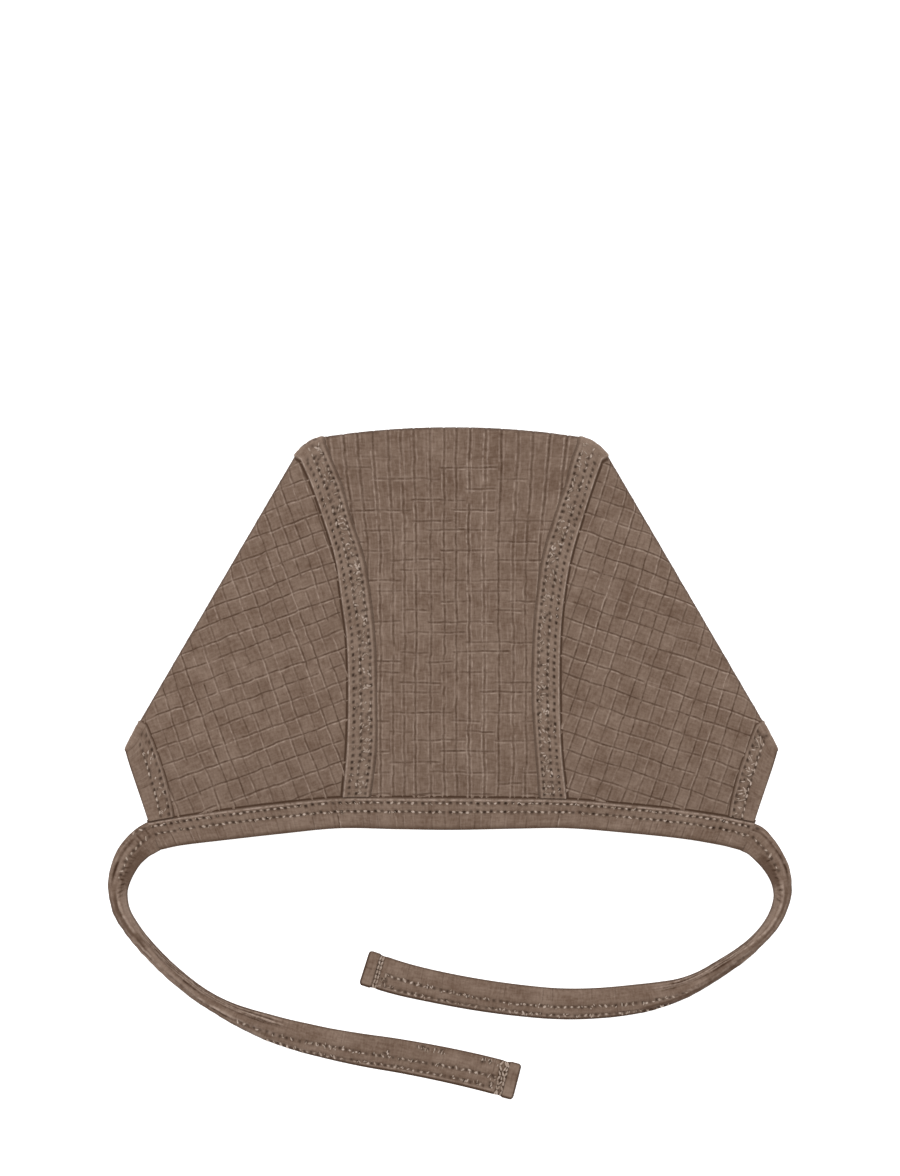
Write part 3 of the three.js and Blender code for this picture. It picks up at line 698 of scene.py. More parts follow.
def side_cloth(side):
    """Laying and cutting of a side panel, round its straight fold"""
    start, outward = fold_at(side, SEAM_END)
    down = np.array([side * outward[1], -side * outward[0]])
    above, below = seam_limit(side, "outer")
    corner = fold_at(side, SIDE_END)[0]
    foot_x = FACE_FOOT["inner"]
    foot_y = neck_top(side * foot_x)

    def past_and_down(flat):
        away = flat - start
        return away @ outward, away @ down

    def laid(flat):
        past, distance = past_and_down(flat)
        return laid_at(start + distance[..., None] * down, outward, past)

    def room(flat):
        past, distance = past_and_down(flat)
        place = laid(flat)
        x, y = side * place[..., 0], place[..., 1]
        t = np.clip((y - foot_y) / (corner[1] - foot_y), 0, 1)
        face_x = lerp(foot_x, side * corner[0], t) - FACE_BOW * 4 * t * (1 - t)
        to_face = np.where(y < corner[1], face_x - x, np.inf)
        upper = np.minimum(np.minimum(x - above(y), y - neck_top(side * x)), to_face)
        lower = np.minimum(x - below(y), y - inner_curve(x))
        fold = np.minimum(distance, SIDE_END - SEAM_END - distance)
        found = np.where(past < 0, upper, np.where(past > FOLD_LENGTH, lower, fold))
        return found + UNDER_BAND

    return laid, room, lambda flat: past_and_down(flat)[0]


# Sewn strips: seam bands and bindings

# The values of a strip: rows of holes and how deep they are; how far it runs on before its
# stitched edge and after the other; how far it stands above the surface (lift) and reaches below
# (depth); how wide its other edge is rounded (soft) and how much of the lift is left there; from
# where the cross lines show; how bright the painted highlights on its two ridges are, and how dark
# the painted shadow in its ditch and the painted shade on its rolled rim are; whether it comes back
# over a second fold; the ways kept free of holes; and scattered pits
PLAIN_STRIP = {
    "after": 0, "returns": False, "far_ridge_highlight": 0.0, "bare": (), "pits": (), "tone": 0.0, "lines": [],
    "strengths": [],
}


class Strip:
    """A folded and stitched strip over a surface of two shares, f across it and way along it. Its
    own measures are the distance from its stitched edge and the distance along it."""

    def __init__(self, surface, end, **spec):
        self.surface, self.end, self.spec = surface, end, {**PLAIN_STRIP, **spec}
        self.width = spec["width"]
        self.ways = np.linspace(0, end, 1200)
        steps = np.linalg.norm(np.diff(surface(np.full(1200, 0.5), self.ways), axis=0), axis=-1)
        self.lengths = np.concatenate([[0], np.cumsum(steps)])
        self.length = self.lengths[-1]
        first = normals_of(surface, np.array([0.5]), np.array([0.02]), 1e-3)
        self.out = math.copysign(1, first[0, 2])

    def along(self, way):
        return float(np.interp(way, self.ways, self.lengths))

    def way_at(self, along):
        return np.interp(along, self.lengths, self.ways)

    def f_at(self, distance):
        share = distance / self.width
        return 1 - share if self.spec["stitched_edge"] == "far" else share

    def above(self, way):
        """1 on the upper layer of the bonnet and 0 on the lower one"""
        return 1 - ease((np.minimum(way, self.end - way) if self.spec["returns"] else way) - 1)

    def normals(self, f, way):
        """Normals on its outer face: up on the upper layer"""
        return self.out * normals_of(self.surface, f, way, 1e-3)

    def rise(self, distance, way):
        """How far its top stands above the surface. Across the width it has a foot, a ridge at the
        stitched edge, channels under the rows, and the other edge rounded off or let down softly;
        on the lower layer it lies almost flat."""
        spec = self.spec
        foot = ease((distance + spec["before"]) / (0.3 * MM)) * 2 * FOOT - FOOT
        section = lerp(foot, 1, ease(distance / (0.36 * MM))) + RIDGE * bell(distance - 0.5 * MM, 0.3 * MM)
        channels = [deep * bell(distance - row, 0.5 * MM) for row, deep in spec["holes"]]
        section = section - CHANNEL * sum(channels)
        left = np.clip((self.width - distance) / spec["soft"], 0, 1)
        fall = np.sqrt(np.clip(1 - (1 - left) ** 2, 0, 1))
        return spec["lift"] * section * lerp(spec["edge_left"], 1, fall) * lerp(PRESSED, 1, self.above(way))

    def skin(self, distance, along):
        """Points on its top and their normals, for threads to lie on"""
        distance, along = np.broadcast_arrays(distance, along)
        f, way = self.f_at(distance), self.way_at(along)
        up = self.normals(f, way)
        return self.surface(f, way) + up * self.rise(distance, way)[..., None], up


def stations_across(width, rows, before, after):
    """Distances across a strip, close together at its edges and at the rows of stitches"""
    marks = [-before, -before * 0.75, -before * 0.3, 0, 0.15 * MM, 0.35 * MM, 0.6 * MM, 1.0 * MM]
    marks += [width - 1.0 * MM, width - 0.6 * MM, width - 0.3 * MM, width - 0.1 * MM, width, width + after]
    for row in rows:
        marks += [row - 0.6 * MM, row - 0.3 * MM, row, row + 0.3 * MM, row + 0.6 * MM]
    marks = sorted(marks)
    picked = [marks[0]]
    for mark in marks[1:]:
        if mark - picked[-1] < 0.1 * MM:
            continue
        count = math.ceil((mark - picked[-1]) / (0.75 * MM))
        picked += [lerp(picked[-1], mark, k / count) for k in range(1, count + 1)]
    return np.array(picked)


def stations_along(length, lines):
    """Distances along a strip: six to a stitch, and close together at the lines that cross it"""
    marks = list(np.arange(0, length, STITCH / 6)) + [length]
    close = [at + k * LINE for at in lines for k in (-1, 0, 1, 2)]
    near = np.array(close) if close else np.zeros(0)
    marks = [m for m in marks if not len(near) or np.abs(near - m).min() > 0.15 * MM or m in (0, length)]
    marks += [m for m in close if 0.2 * MM < m < length - 0.2 * MM]
    return np.unique(np.round(marks, 7))


def needle_holes(distance, along, rows, seed, shift=0.5):
    """Dents of the needle, 0 to 1, at the end of each stitch in each row"""
    rng = np.random.default_rng(seed)
    total = np.zeros(np.broadcast(distance, along).shape)
    count = int(along.max() / STITCH) + 3
    for row, strength in rows:
        sideways = rng.uniform(-0.2, 0.2, count) * MM
        depth = strength * rng.uniform(0.6, 1.0, count)
        number = np.clip(np.floor(along / STITCH), 0, count - 1).astype(int)
        ahead = (along / STITCH - np.floor(along / STITCH) - shift) * STITCH
        aside = distance - row - sideways[number]
        dent = np.exp(-((ahead / (0.58 * MM)) ** 4) - (aside / (0.54 * MM)) ** 4)
        total = np.maximum(total, depth[number] * dent)
    return total


def pits(distance, along, area, seed):
    """Small dents of loose stitches, scattered over part of a strip"""
    start, stop, near, far, per_stitch = area
    rng = np.random.default_rng(seed)
    total = np.zeros(distance.shape)
    for _ in range(int((stop - start) / STITCH * per_stitch)):
        s, d, size = rng.uniform(start, stop), rng.uniform(near, far), rng.uniform(0.35, 0.6) * MM
        close = np.exp(-((along - s) ** 2 + (distance - d) ** 2) / size**2)
        total = np.maximum(total, rng.uniform(0.4, 1.0) * close)
    return total


def cross_lines(rng, length, count, start=0.0):
    lines = np.sort(rng.uniform(start, length, count))
    lines = lines[np.concatenate([[True], np.diff(lines) > 1.4 * MM])]
    return lines, [(rng.uniform(0.05, 0.6), rng.uniform(0.0, 0.45)) for _ in lines]


def crossing_lines(along, lines, strengths):
    groove = np.zeros(along.shape)
    thread = np.zeros(along.shape)
    for at, (dark, light) in zip(lines, strengths):
        groove = np.maximum(groove, dark * np.clip(1 - np.abs(along - at) / LINE, 0, 1))
        thread = np.maximum(thread, light * np.clip(1 - np.abs(along - at - LINE) / LINE, 0, 1))
    return groove, thread


def strip_knit(name, material, strip):
    """The cloth of a strip, closed all round, with a ditch, painted in shadow, where it stands up beside the
    panel
    """
    spec, width = strip.spec, strip.width
    s = stations_along(strip.length, spec["lines"])
    d = stations_across(width, [row for row, _ in spec["holes"]], spec["before"], spec["after"])
    distance, along = np.meshgrid(d, s, indexing="xy")
    way = np.broadcast_to(strip.way_at(s)[:, None], distance.shape)
    upper = strip.above(way)
    holes = needle_holes(distance, along, spec["holes"], spec["seed"])
    for start, stop in np.interp(spec["bare"], strip.ways, strip.lengths):
        holes = holes * ease((np.maximum(start - along, along - stop) - 2.6 * MM) / MM)
    for number, (first, last, *rest) in enumerate(spec["pits"]):
        area = (first * strip.length, last * strip.length, *rest)
        holes = np.maximum(holes, pits(distance, along, area, spec["seed"] + 20 + number))
    plain = lerp(0.25, 1, ease((distance - spec["plain_from"]) / MM))
    groove, thread = [drawn * plain for drawn in crossing_lines(along, spec["lines"], spec["strengths"])]
    pucker = ripples(spec["seed"] + 3, 3 * MM, 9 * MM)(along, distance * 0.35)
    edge_room = np.clip(np.minimum(distance, width - distance) / MM, 0, 1)
    relief = strip.rise(distance, way)
    relief += edge_room * (BAND_RELIEF["pucker"] * pucker - BAND_RELIEF["hole"] * holes)
    relief += edge_room * (THREAD_HEIGHT * thread - GROOVE_DEPTH * groove)
    # On the lower layer the panels cover the feet of the strip
    foot = (distance < -0.05 * MM) | (distance > width + 0.05 * MM)
    relief -= BAND_RELIEF["foot"] * foot * (1 - upper)
    # Painted highlights along the ridge of the stitched edge and along the other edge, on the upper layer
    thread = np.maximum(thread, spec["ridge_highlight"] * upper * bell(distance - 0.55 * MM, 0.28 * MM))
    thread = np.maximum(thread, spec["far_ridge_highlight"] * upper * bell(width - distance - 1.1 * MM, 0.28 * MM))
    f = strip.f_at(distance)
    top = strip.surface(f, way) + strip.normals(f, way) * relief[..., None]
    # Painted shadow in the ditch beside the stitched edge, and painted shade on the rounded rim of the other
    # edge
    ditch = bell(distance + 0.4 * spec["before"], 0.5 * spec["before"], 4) * (distance < 0.25 * MM)
    rolled = 1 - ease((width - distance - 0.15 * MM) / spec["rim"])

    low_d = np.broadcast_to(np.linspace(d[0], d[-1], 6), (len(s), 6))
    low_f, low_way = strip.f_at(low_d), np.broadcast_to(way[:, :1], low_d.shape)
    rounded = np.where((low_d < 0.3 * MM) | (low_d > width - 0.3 * MM), 0.3, 1)
    depth = (spec["depth"] + spec["lift"] * (1 - strip.above(low_way))) * rounded
    under = strip.surface(low_f, low_way) - strip.normals(low_f, low_way) * depth[..., None]

    points = np.concatenate([top.reshape(-1, 3), under.reshape(-1, 3)])
    points[:, 2] = np.maximum(points[:, 2], ABOVE_STITCHES)
    faces = strip_faces(len(s), len(d), 6)
    tone = ripples(spec["seed"] + 5, 5 * MM, 16 * MM)(along, distance) + spec["tone"]
    # The needle holes and pits are sunk in relief and also darkened as painted shadow
    return piece(name, points, facing_out(points, faces), material, "knit_band", **top_only(
        low_d.size, groove=groove, thread=thread, hole=holes, ditch=spec["ditch"] * ditch,
        rolled=spec["rolled"] * rolled, tone=tone, ribbed=np.full(along.shape, 0.35),
        grain=plan(along, distance, 0.0),
    ))


def strip_faces(rows, top, under):
    """Faces of a closed strip: a fine skin on top, a plain one below, and its four edges"""
    index = np.arange(rows * top).reshape(rows, top)
    low = rows * top + np.arange(rows * under).reshape(rows, under)

    def skin(grid):
        return np.stack([grid[:-1, :-1], grid[:-1, 1:], grid[1:, 1:], grid[1:, :-1]], -1).reshape(-1, 4)

    sides = [
        np.stack([index[:-1, 0], index[1:, 0], low[1:, 0], low[:-1, 0]], -1),
        np.stack([index[1:, -1], index[:-1, -1], low[:-1, -1], low[1:, -1]], -1),
    ]
    faces = np.concatenate([skin(index), skin(low)[:, ::-1], *sides]).tolist()
    faces.append([*index[0, ::-1], *low[0]])
    faces.append([*index[-1], *low[-1, ::-1]])
    return [[int(k) for k in face] for face in faces]


# Threads

def thread_mesh(lines, ups, radius, sides=6):
    """Points and faces of many threads of equal point count, each a closed round tube"""
    ahead = np.gradient(lines, axis=1)
    ahead /= np.linalg.norm(ahead, axis=-1, keepdims=True)
    aside = np.cross(ahead, ups)
    aside /= np.linalg.norm(aside, axis=-1, keepdims=True)
    up = np.cross(aside, ahead)
    turn = np.arange(sides) * 2 * math.pi / sides
    spokes = aside[:, :, None] * np.cos(turn)[:, None] + up[:, :, None] * np.sin(turn)[:, None]
    points = lines[:, :, None] + spokes * np.broadcast_to(radius, lines.shape[:2])[:, :, None, None]
    count, rings = lines.shape[:2]
    index = np.arange(count * rings * sides).reshape(count, rings, sides)
    nearer, farther = index[:, :-1], index[:, 1:]
    quads = np.stack([
        nearer, np.roll(nearer, -1, 2), np.roll(farther, -1, 2), farther,
    ], -1).reshape(-1, 4)
    faces = quads.tolist() + index[:, 0, ::-1].tolist() + index[:, -1].tolist()
    points = points.reshape(-1, 3)
    points[:, 2] = np.maximum(points[:, 2], 0)
    return points, faces


def stitches(name, thread, parts):
    """All threads of a piece, given as point and face lists, as one piece"""
    points, faces, start = [], [], 0
    for some_points, some_faces in parts:
        points.append(some_points)
        faces += [[k + start for k in face] for face in some_faces]
        start += len(some_points)
    return piece(name, np.concatenate(points), faces, thread, "knit_band")


BEAD_AT = np.array([-0.26, -0.2, -0.08, 0.08, 0.2, 0.26])  # along a stitch, in stitch lengths
# How high the thread stands there, and how thick it is
BEAD_UP = np.array([-0.35, 0.0, 0.14, 0.14, 0.0, -0.35]) * MM
BEAD_RADIUS = np.array([0.45, 0.85, 1.0, 1.0, 0.85, 0.45])


def bead_row(skin, length, row, seed, size, slant=0.12 * MM, missing=0.0, seen=None, reach=1.0):
    """A row of short stitches that show as beads of thread between the needle holes"""
    rng = np.random.default_rng(seed)
    count = int(length / STITCH)
    starts = np.arange(count)
    starts = starts[rng.random(count) > missing]
    if seen:
        starts = starts[seen(row, (starts + 1) * STITCH) > 0.5]
    s = (starts[:, None] + 1.0 + BEAD_AT * reach * rng.uniform(0.7, 1.1, (len(starts), 1))) * STITCH
    s = np.minimum(s, length - 0.3 * MM)
    aside = rng.uniform(-0.2, 0.2, (len(starts), 1)) * MM
    tilt = rng.normal(0, 1, (len(starts), 1)) * slant * BEAD_AT / 0.26
    points, up = skin(row + aside + tilt, s)
    points = points + up * (BEAD_UP * size)[:, None]
    thickness = rng.uniform(0.6, 1.3, (len(starts), 1))
    return thread_mesh(points, up, THREAD * size * thickness * BEAD_RADIUS)


def on_runs(runs):
    """Whether a row of stitches shows at a place: only on these runs of a strip"""
    return lambda row, s: sum((s > start) & (s < stop) for start, stop in runs)


def flecks(skin, area, seed, size, longest, turns=(20, 75)):
    """Short loose threads that cross each other between two rows, each dipping in at both ends"""
    start, stop, near, far, per_stitch = area
    rng = np.random.default_rng(seed)
    count = int((stop - start) / STITCH * per_stitch)
    middle, row = rng.uniform(start, stop, count), rng.uniform(near, far, count)
    angle = np.radians(rng.uniform(*turns, count)) * rng.choice((-1, 1), count)
    half = rng.uniform(0.35, 1.0, count) * longest / 2
    t = np.array([-1, -0.6, 0, 0.6, 1])
    s = np.clip(middle[:, None] + (half * np.cos(angle))[:, None] * t, start, stop)
    points, up = skin(row[:, None] + (half * np.sin(angle))[:, None] * t, s)
    lift = np.array([-0.3, 0.02, 0.14, 0.02, -0.3]) * MM * rng.uniform(0.5, 1.2, (count, 1))
    points = points + up * lift[..., None]
    thickness = rng.uniform(0.6, 1.1, (count, 1)) * np.array([0.5, 0.85, 1, 0.85, 0.5])
    return thread_mesh(points, up, THREAD * size * thickness, 5)


# Ties

def centripetal(route, per=14):
    """A smooth line through the points of a route, close to it between them"""
    p = np.array(route)
    p = np.concatenate([[2 * p[0] - p[1]], p, [2 * p[-1] - p[-2]]])
    gap = np.sqrt(np.linalg.norm(np.diff(p, axis=0), axis=-1))
    line = []
    for i in range(1, len(p) - 2):
        a, b, c = gap[i - 1], gap[i], gap[i + 1]
        leave = ((p[i] - p[i - 1]) / a - (p[i + 1] - p[i - 1]) / (a + b) + (p[i + 1] - p[i]) / b) * b
        reach = ((p[i + 1] - p[i]) / b - (p[i + 2] - p[i]) / (b + c) + (p[i + 2] - p[i + 1]) / c) * b
        t = (np.arange(per) / per)[:, None]
        line.append(
            (2 * t**3 - 3 * t**2 + 1) * p[i] + (t**3 - 2 * t**2 + t) * leave
            + (3 * t**2 - 2 * t**3) * p[i + 1] + (t**3 - t**2) * reach
        )
    return np.concatenate([*line, [p[-2]]])


# Section of the creased strap: share of its width as seen from above, and of its height, at each
# share of its own width
creased_across = curve_through((0, 0.09, 0.2, 0.45, 0.7, 1), (0, 0.035, 0.14, 0.53, 0.74, 1))
creased_up = curve_through((0, 0.09, 0.2, 0.45, 0.7, 1), (0, 0.34, 0.66, 1, 0.62, 0))


class Tie:
    """A folded strap on the floor, by distance from its stitched edge and distance along it"""

    ROWS = ((1.8 * MM, 0.75), (5.2 * MM, 0.75))
    START = -1.0 * MM  # it begins a little inside the neck binding

    def __init__(self, side, route, crease):
        self.side = side
        self.flare = TIE_FLARE[side]
        self.hidden = TIE_HIDDEN[side]
        line = centripetal(route)
        steps = np.linalg.norm(np.diff(line, axis=0), axis=-1)
        self.at = np.concatenate([[0], np.cumsum(steps)])
        self.line = line
        self.length = self.at[-1]
        self.cap = self.length - TIE_CAP["length"]
        self.lean = curve_through(*zip(*crease))
        self.wander = [curve_through(*zip(*table)) for table in TIE_DRIFT[side]]

    def centre(self, s):
        first = (self.line[1] - self.line[0]) / self.at[1]
        inside_it = np.clip(s, 0, self.length)
        x = np.interp(inside_it, self.at, self.line[:, 0]) + np.minimum(s, 0) * first[0]
        y = np.interp(inside_it, self.at, self.line[:, 1]) + np.minimum(s, 0) * first[1]
        return plan(x, y)

    def section(self, distance, s):
        """Distance from the stitched edge as seen from above, height of the fold, and thickness"""
        lean = np.radians(self.lean(s))
        capped = ease((s - self.cap) / (0.5 * MM))
        last = np.clip((s - (self.length - TIE_CAP["rounding"])) / TIE_CAP["rounding"], 0, 1)
        cut = TIE_CAP["rounding"] * (1 - np.sqrt(1 - last**2 * 0.999))
        flare = 1 + self.flare[1] * ease((s - self.flare[0]) / (self.length - self.flare[0]))
        drawn_in = 0.03 * bell(s - self.cap + 1.2 * MM, 1.1 * MM)
        flare = flare - drawn_in - 0.06 * (1 - ease((s - self.START) / (5 * MM)))
        width = (TIE_WIDTH * flare * lerp(1, TIE_CAP["wider"], capped) - 2 * cut) * np.cos(lean)
        share = distance / TIE_WIDTH
        creased = ease(lean / 0.8)
        across = lerp(share, creased_across(share), creased)
        up = creased_up(share) * 0.8 * TIE_WIDTH / 2 * np.sin(lean)
        thick = lerp(TIE_THICKNESS, TIE_CAP["thickness"], capped) * (1 - 0.35 * last**3)
        return (across - 0.5) * width, up, thick * lerp(1, 0.62, creased)

    def place(self, distance, s, layer):
        """Points of the top (1) or bottom (-1) skin, or of its middle (0), and normals of the top"""
        distance, s = np.broadcast_arrays(distance, s)
        across, up, thick = self.section(distance, s)
        before, after = [self.section(distance + step, s) for step in (-0.1 * MM, 0.1 * MM)]
        along_across, along_up = after[0] - before[0], after[1] - before[1]
        size = np.hypot(along_across, along_up)
        normal_across, normal_up = -along_up / size, along_across / size
        p = 2 * distance / TIE_WIDTH - 1
        edge = np.sqrt(np.clip(1 - np.abs(p) ** 5 * 0.97, 0, 1))
        skin = layer * thick / 2 * edge
        ahead = self.centre(s + 0.2 * MM) - self.centre(s - 0.2 * MM)
        ahead = ahead / np.linalg.norm(ahead, axis=-1, keepdims=True)
        # The stitched edge is on the outside of the bend
        out = plan(self.side * -ahead[..., 1], self.side * ahead[..., 0])
        flat = self.centre(s) - out * (across + skin * normal_across)[..., None]
        height = thick / 2 + up + skin * normal_up
        points = np.concatenate([flat, np.maximum(height, 0)[..., None]], -1)
        normal = np.concatenate([-out * normal_across[..., None], normal_up[..., None]], -1)
        return points, normal

    def skin(self, distance, s):
        return self.place(distance, s, 1)

    def stitched(self, s):
        """1 where the rows run along the strap, and 0 at its turned-in end"""
        return 1 - ease((s - (self.cap - 3.5 * MM)) / (0.4 * MM))

    def drift(self, distance, s):
        """How far the rows of stitches lie from their straight run: each its own way"""
        outer, inner = [wander(s) for wander in self.wander]
        (first, _), (second, _) = self.ROWS
        return lerp(outer, inner, np.clip((distance - first) / (second - first), 0, 1))

    def from_rows(self, distance, s):
        """The distance at which a place would lie if the rows ran straight"""
        straight = distance
        for _ in range(8):
            straight = distance - self.drift(straight, s)
        return straight

    def sewn_skin(self, distance, s):
        """The top of the strap, by distance from the edge to where a row of stitches sets out"""
        return self.place(distance + self.drift(distance, s), s, 1)

    def seen(self, distance, s):
        """Where the rows of stitches show: each is hidden in the bend, the outer row for longer"""
        hides, shows = [np.where(distance < 3.5 * MM, outer, inner) for outer, inner in self.hidden]
        return np.maximum(ease((hides - s) / (3 * MM)), ease((s - shows) / (3 * MM)))


def tie_pleats(distance, along, creased, sooner, seed):
    """Lengthwise creases of the bent strap: how deep its valleys are, in relief and painted shade, and how
    bright the painted highlights on its ridges are
    """
    rng = np.random.default_rng(seed + 7)
    pleat, glint = np.zeros(distance.shape), np.zeros(distance.shape)
    width = lerp(0.3, 0.45, creased) * MM
    for at, dark, light, begins, ends in TIE_PLEATS:
        drift = ripples(int(rng.integers(1000)), 25 * MM, 70 * MM)(along, 0 * along) * 0.35 * MM
        come = ripples(int(rng.integers(1000)), 9 * MM, 30 * MM)(along, 0 * along)
        off = distance - at - drift
        last = ends - sooner if ends > 0.1 else ends
        there = ease((along - begins) / (6 * MM)) * ease((last - along) / (12 * MM))
        share = np.clip(0.75 + 0.5 * come, 0.4, 1.1) * lerp(0.8, 1, creased) * there
        pleat = np.maximum(pleat, dark * share * bell(off, width))
        glint = np.maximum(glint, light * share * bell(off - 2.2 * width, width))
    return pleat, glint


def tie_shade(tie, distance, along):
    """How much deeper or paler the slopes of the bent strap look"""
    total = np.zeros(distance.shape)
    for start, stop, near, far, amount in TIE_SHADES[tie.side]:
        run = ease((along - start) / (4 * MM)) * ease((stop - along) / (4 * MM))
        total += amount * run * ease((distance - near) / MM) * ease((far - distance) / MM)
    return total


def tie_wrinkles(distance, along, at, seed):
    """Short wrinkles across the inside of the first bend, beside the inner row, sunk in relief and darkened
    with painted shade
    """
    rng = np.random.default_rng(seed + 11)
    found = np.zeros(distance.shape)
    while at < 28 * MM:
        middle = (rng.uniform(6.4, 7.6) if at > 9 * MM else rng.uniform(2.2, 4.6)) * MM
        half, slant = rng.uniform(0.9, 1.8) * MM, rng.uniform(-0.5, 0.1)
        off = along - at - slant * (distance - middle)
        near = bell(off, 0.33 * MM) * bell(distance - middle, half, 4)
        found = np.maximum(found, rng.uniform(0.5, 1.3) * near)
        at += rng.uniform(1.1, 2.2) * MM
    return found


def tie_grid(tie, lines):
    """Distances across and along a tie, close together at its lines, its edges and its end"""
    s = stations_along(tie.length - tie.START, [at - tie.START for at in lines]) + tie.START
    sewn = tie.cap + np.array([-3.2, -2.7, -2.3, -1.6, -1.1, -0.5, 0.0, 0.15, 0.3, 0.5, 0.9]) * MM
    ending = tie.length - np.array([1.3, 0.9, 0.6, 0.35, 0.15, 0.05]) * MM
    s = np.unique(np.round(np.concatenate([s[s < tie.length - 1.4 * MM], sewn, ending, [tie.length]]), 7))
    edge = np.array([0.12, 0.25]) * MM
    d = np.unique(np.concatenate([np.linspace(0, TIE_WIDTH, 44), edge, TIE_WIDTH - edge]))
    return np.meshgrid(d, s, indexing="xy")


def tie_needle_holes(tie, distance, along, from_rows, seed):
    """Needle holes of a tie where its rows show, and the pits of its loose stitches"""
    holes = needle_holes(from_rows, np.maximum(along, 0), tie.ROWS, seed)
    holes = holes * tie.stitched(along) * tie.seen(distance, along)
    for start, stop, *rest in TIE_LOOSE[tie.side]:
        area = (tie.cap - start, tie.cap - stop, *rest)
        holes = np.maximum(holes, pits(distance, along, area, seed + int(start / MM)))
    return holes


def tie_bars(tie, distance, along):
    """The dents under the rows of stitches across the end, sunk in relief and darkened with painted shade"""
    found = 0
    for back, slant in TIE_BARS[tie.side]:
        off = along - tie.cap + back - slant * (distance - TIE_WIDTH / 2)
        found = np.maximum(found, bell(off, 0.6 * MM, 4))
    return found


def tie_fold_highlight(tie, distance, along):
    """The painted highlight along the fold of the bent strap"""
    starts, stops, leaves, arrives, aside = TIE_FOLD_HIGHLIGHT[tie.side]
    spine = 5.4 * MM + aside * ease((along - leaves) / (arrives - leaves))
    there = ease((along - starts) / (5 * MM)) * ease((stops - along) / (6 * MM))
    return there * bell(distance - spine, 0.42 * MM)


def tie_edges(tie, top, distance, along, creased):
    """How dark the painted shade makes the strap where it rounds off and at its end, and how far in
    from its stitched edge each point of its top is as seen from above"""
    across = np.linalg.norm(top[..., :2] - tie.centre(along), axis=-1)
    across *= np.sign(tie.section(distance, along)[0])
    from_stitched = across - across.min(axis=1, keepdims=True)
    from_plain = across.max(axis=1, keepdims=True) - across
    rolled = 0.75 - 0.75 * ease((from_plain - 0.2 * MM) / (0.5 * MM))
    early = ease((26 * MM - along) / (8 * MM))
    edge, fall = lerp(lerp(0.55, 0.1, creased), 0.05, early) * MM, lerp(0.6, 0.4, early) * MM
    outlined = 1 - ease((from_stitched - edge) / fall)
    rolled = np.maximum(rolled, lerp(1.15, 0.85, creased) * (1 - 0.2 * early) * outlined)
    ended = 1.15 - 1.15 * ease((tie.length - along - 0.35 * MM) / (0.6 * MM))
    return np.maximum(rolled, ended), from_stitched


def tie_strap(name, material, tie, lines, strengths, seed):
    """The strap of a tie with its channels, needle holes and the cross grooves of the check"""
    distance, along = tie_grid(tie, lines)
    stitched, seen = tie.stitched(along), tie.seen(distance, along)
    from_rows = tie.from_rows(distance, along)
    holes = tie_needle_holes(tie, distance, along, from_rows, seed)
    bar = tie_bars(tie, distance, along)
    creased = ease((np.radians(tie.lean(along)) - 0.35) / 0.5) * stitched
    plain = lerp(0.2, 1, ease((distance - 6.2 * MM) / MM)) * stitched * (1 - 0.7 * creased)
    groove, thread = crossing_lines(along, lines, strengths)
    groove, thread = groove * plain * 0.8, thread * plain * 0.45
    if tie.side > 0:
        middle = 0.7 * bell(distance - 6.4 * MM, 0.25 * MM)
        groove = np.maximum(groove, middle * ease((along - tie.cap - 1.4 * MM) / (0.5 * MM)))
    pleat, glint = tie_pleats(distance, along, creased, PLEATS_EARLIER[tie.side], seed)
    pleat = np.maximum(pleat, tie_wrinkles(distance, along, WRINKLES_FROM[tie.side], seed))
    pucker = ripples(seed + 3, 3 * MM, 9 * MM)(along, distance * 0.35)
    channel = TIE_RELIEF["channel"] * sum(bell(from_rows - row - 0.3 * MM, 0.6 * MM) for row, _ in tie.ROWS)
    edge_room = np.clip(np.minimum(distance, TIE_WIDTH - distance) / MM, 0, 1)
    relief = edge_room * (
        TIE_RELIEF["pucker"] * pucker - TIE_RELIEF["hole"] * holes - TIE_RELIEF["bar"] * bar
        - TIE_RELIEF["pleat"] * pleat + TIE_RELIEF["glint"] * glint - channel * MM * seen * stitched
        + THREAD_HEIGHT * thread - GROOVE_DEPTH * groove
    )
    top, normal = tie.skin(distance, along)
    top = top + normal * relief[..., None]
    low, _ = tie.place(np.linspace(distance[0, 0], distance[0, -1], 9)[None, :], along[:, :1], -1)
    points = np.concatenate([top.reshape(-1, 3), low.reshape(-1, 3)])
    points[:, 2] = np.maximum(points[:, 2], 0)
    faces = strip_faces(*along.shape, 9)
    rolled, from_stitched = tie_edges(tie, top, distance, along, creased)
    # A painted highlight along the rounded stitched edge
    thread = np.maximum(thread, 0.45 * stitched * bell(from_stitched - 1.3 * MM, 0.25 * MM))
    # Painted shade in the channels under the rows
    groove = np.maximum(groove, 1.3 * channel * seen * stitched)
    fold_highlight = tie_fold_highlight(tie, distance, along)
    shade = tie_shade(tie, distance, along) * (1 - fold_highlight)
    # Random tone, set 0.6 lower to darken the ties as painted shade against the light thrown up by the paper
    tone = 1.6 * ripples(seed + 5, 3 * MM, 9 * MM)(along * 0.25, distance) - 0.6
    # Painted light and shade: the shaded and lit slopes of the bend change the tone, and the shaded ones also
    # fill a shade field; the painted highlights of the creases and the fold brighten the tone and the thread
    # field; the needle holes and pits are darkened as painted shadow
    fields = top_only(
        low[..., 0].size, groove=np.maximum(np.maximum(groove, pleat), 0.9 * bar),
        thread=np.maximum(np.maximum(thread, 0.75 * fold_highlight), glint), hole=holes,
        ditch=np.maximum(-0.055 * shade, 0), rolled=rolled, tone=tone + (shade + 5 * glint + 4 * fold_highlight),
        grain=plan(along, distance, 0.0),
    )
    # The underside of the strap in painted shade
    fields["rolled"][along.size:] = 0.8
    return piece(name, points, facing_out(points, faces), material, "knit_band", **fields)


# Materials

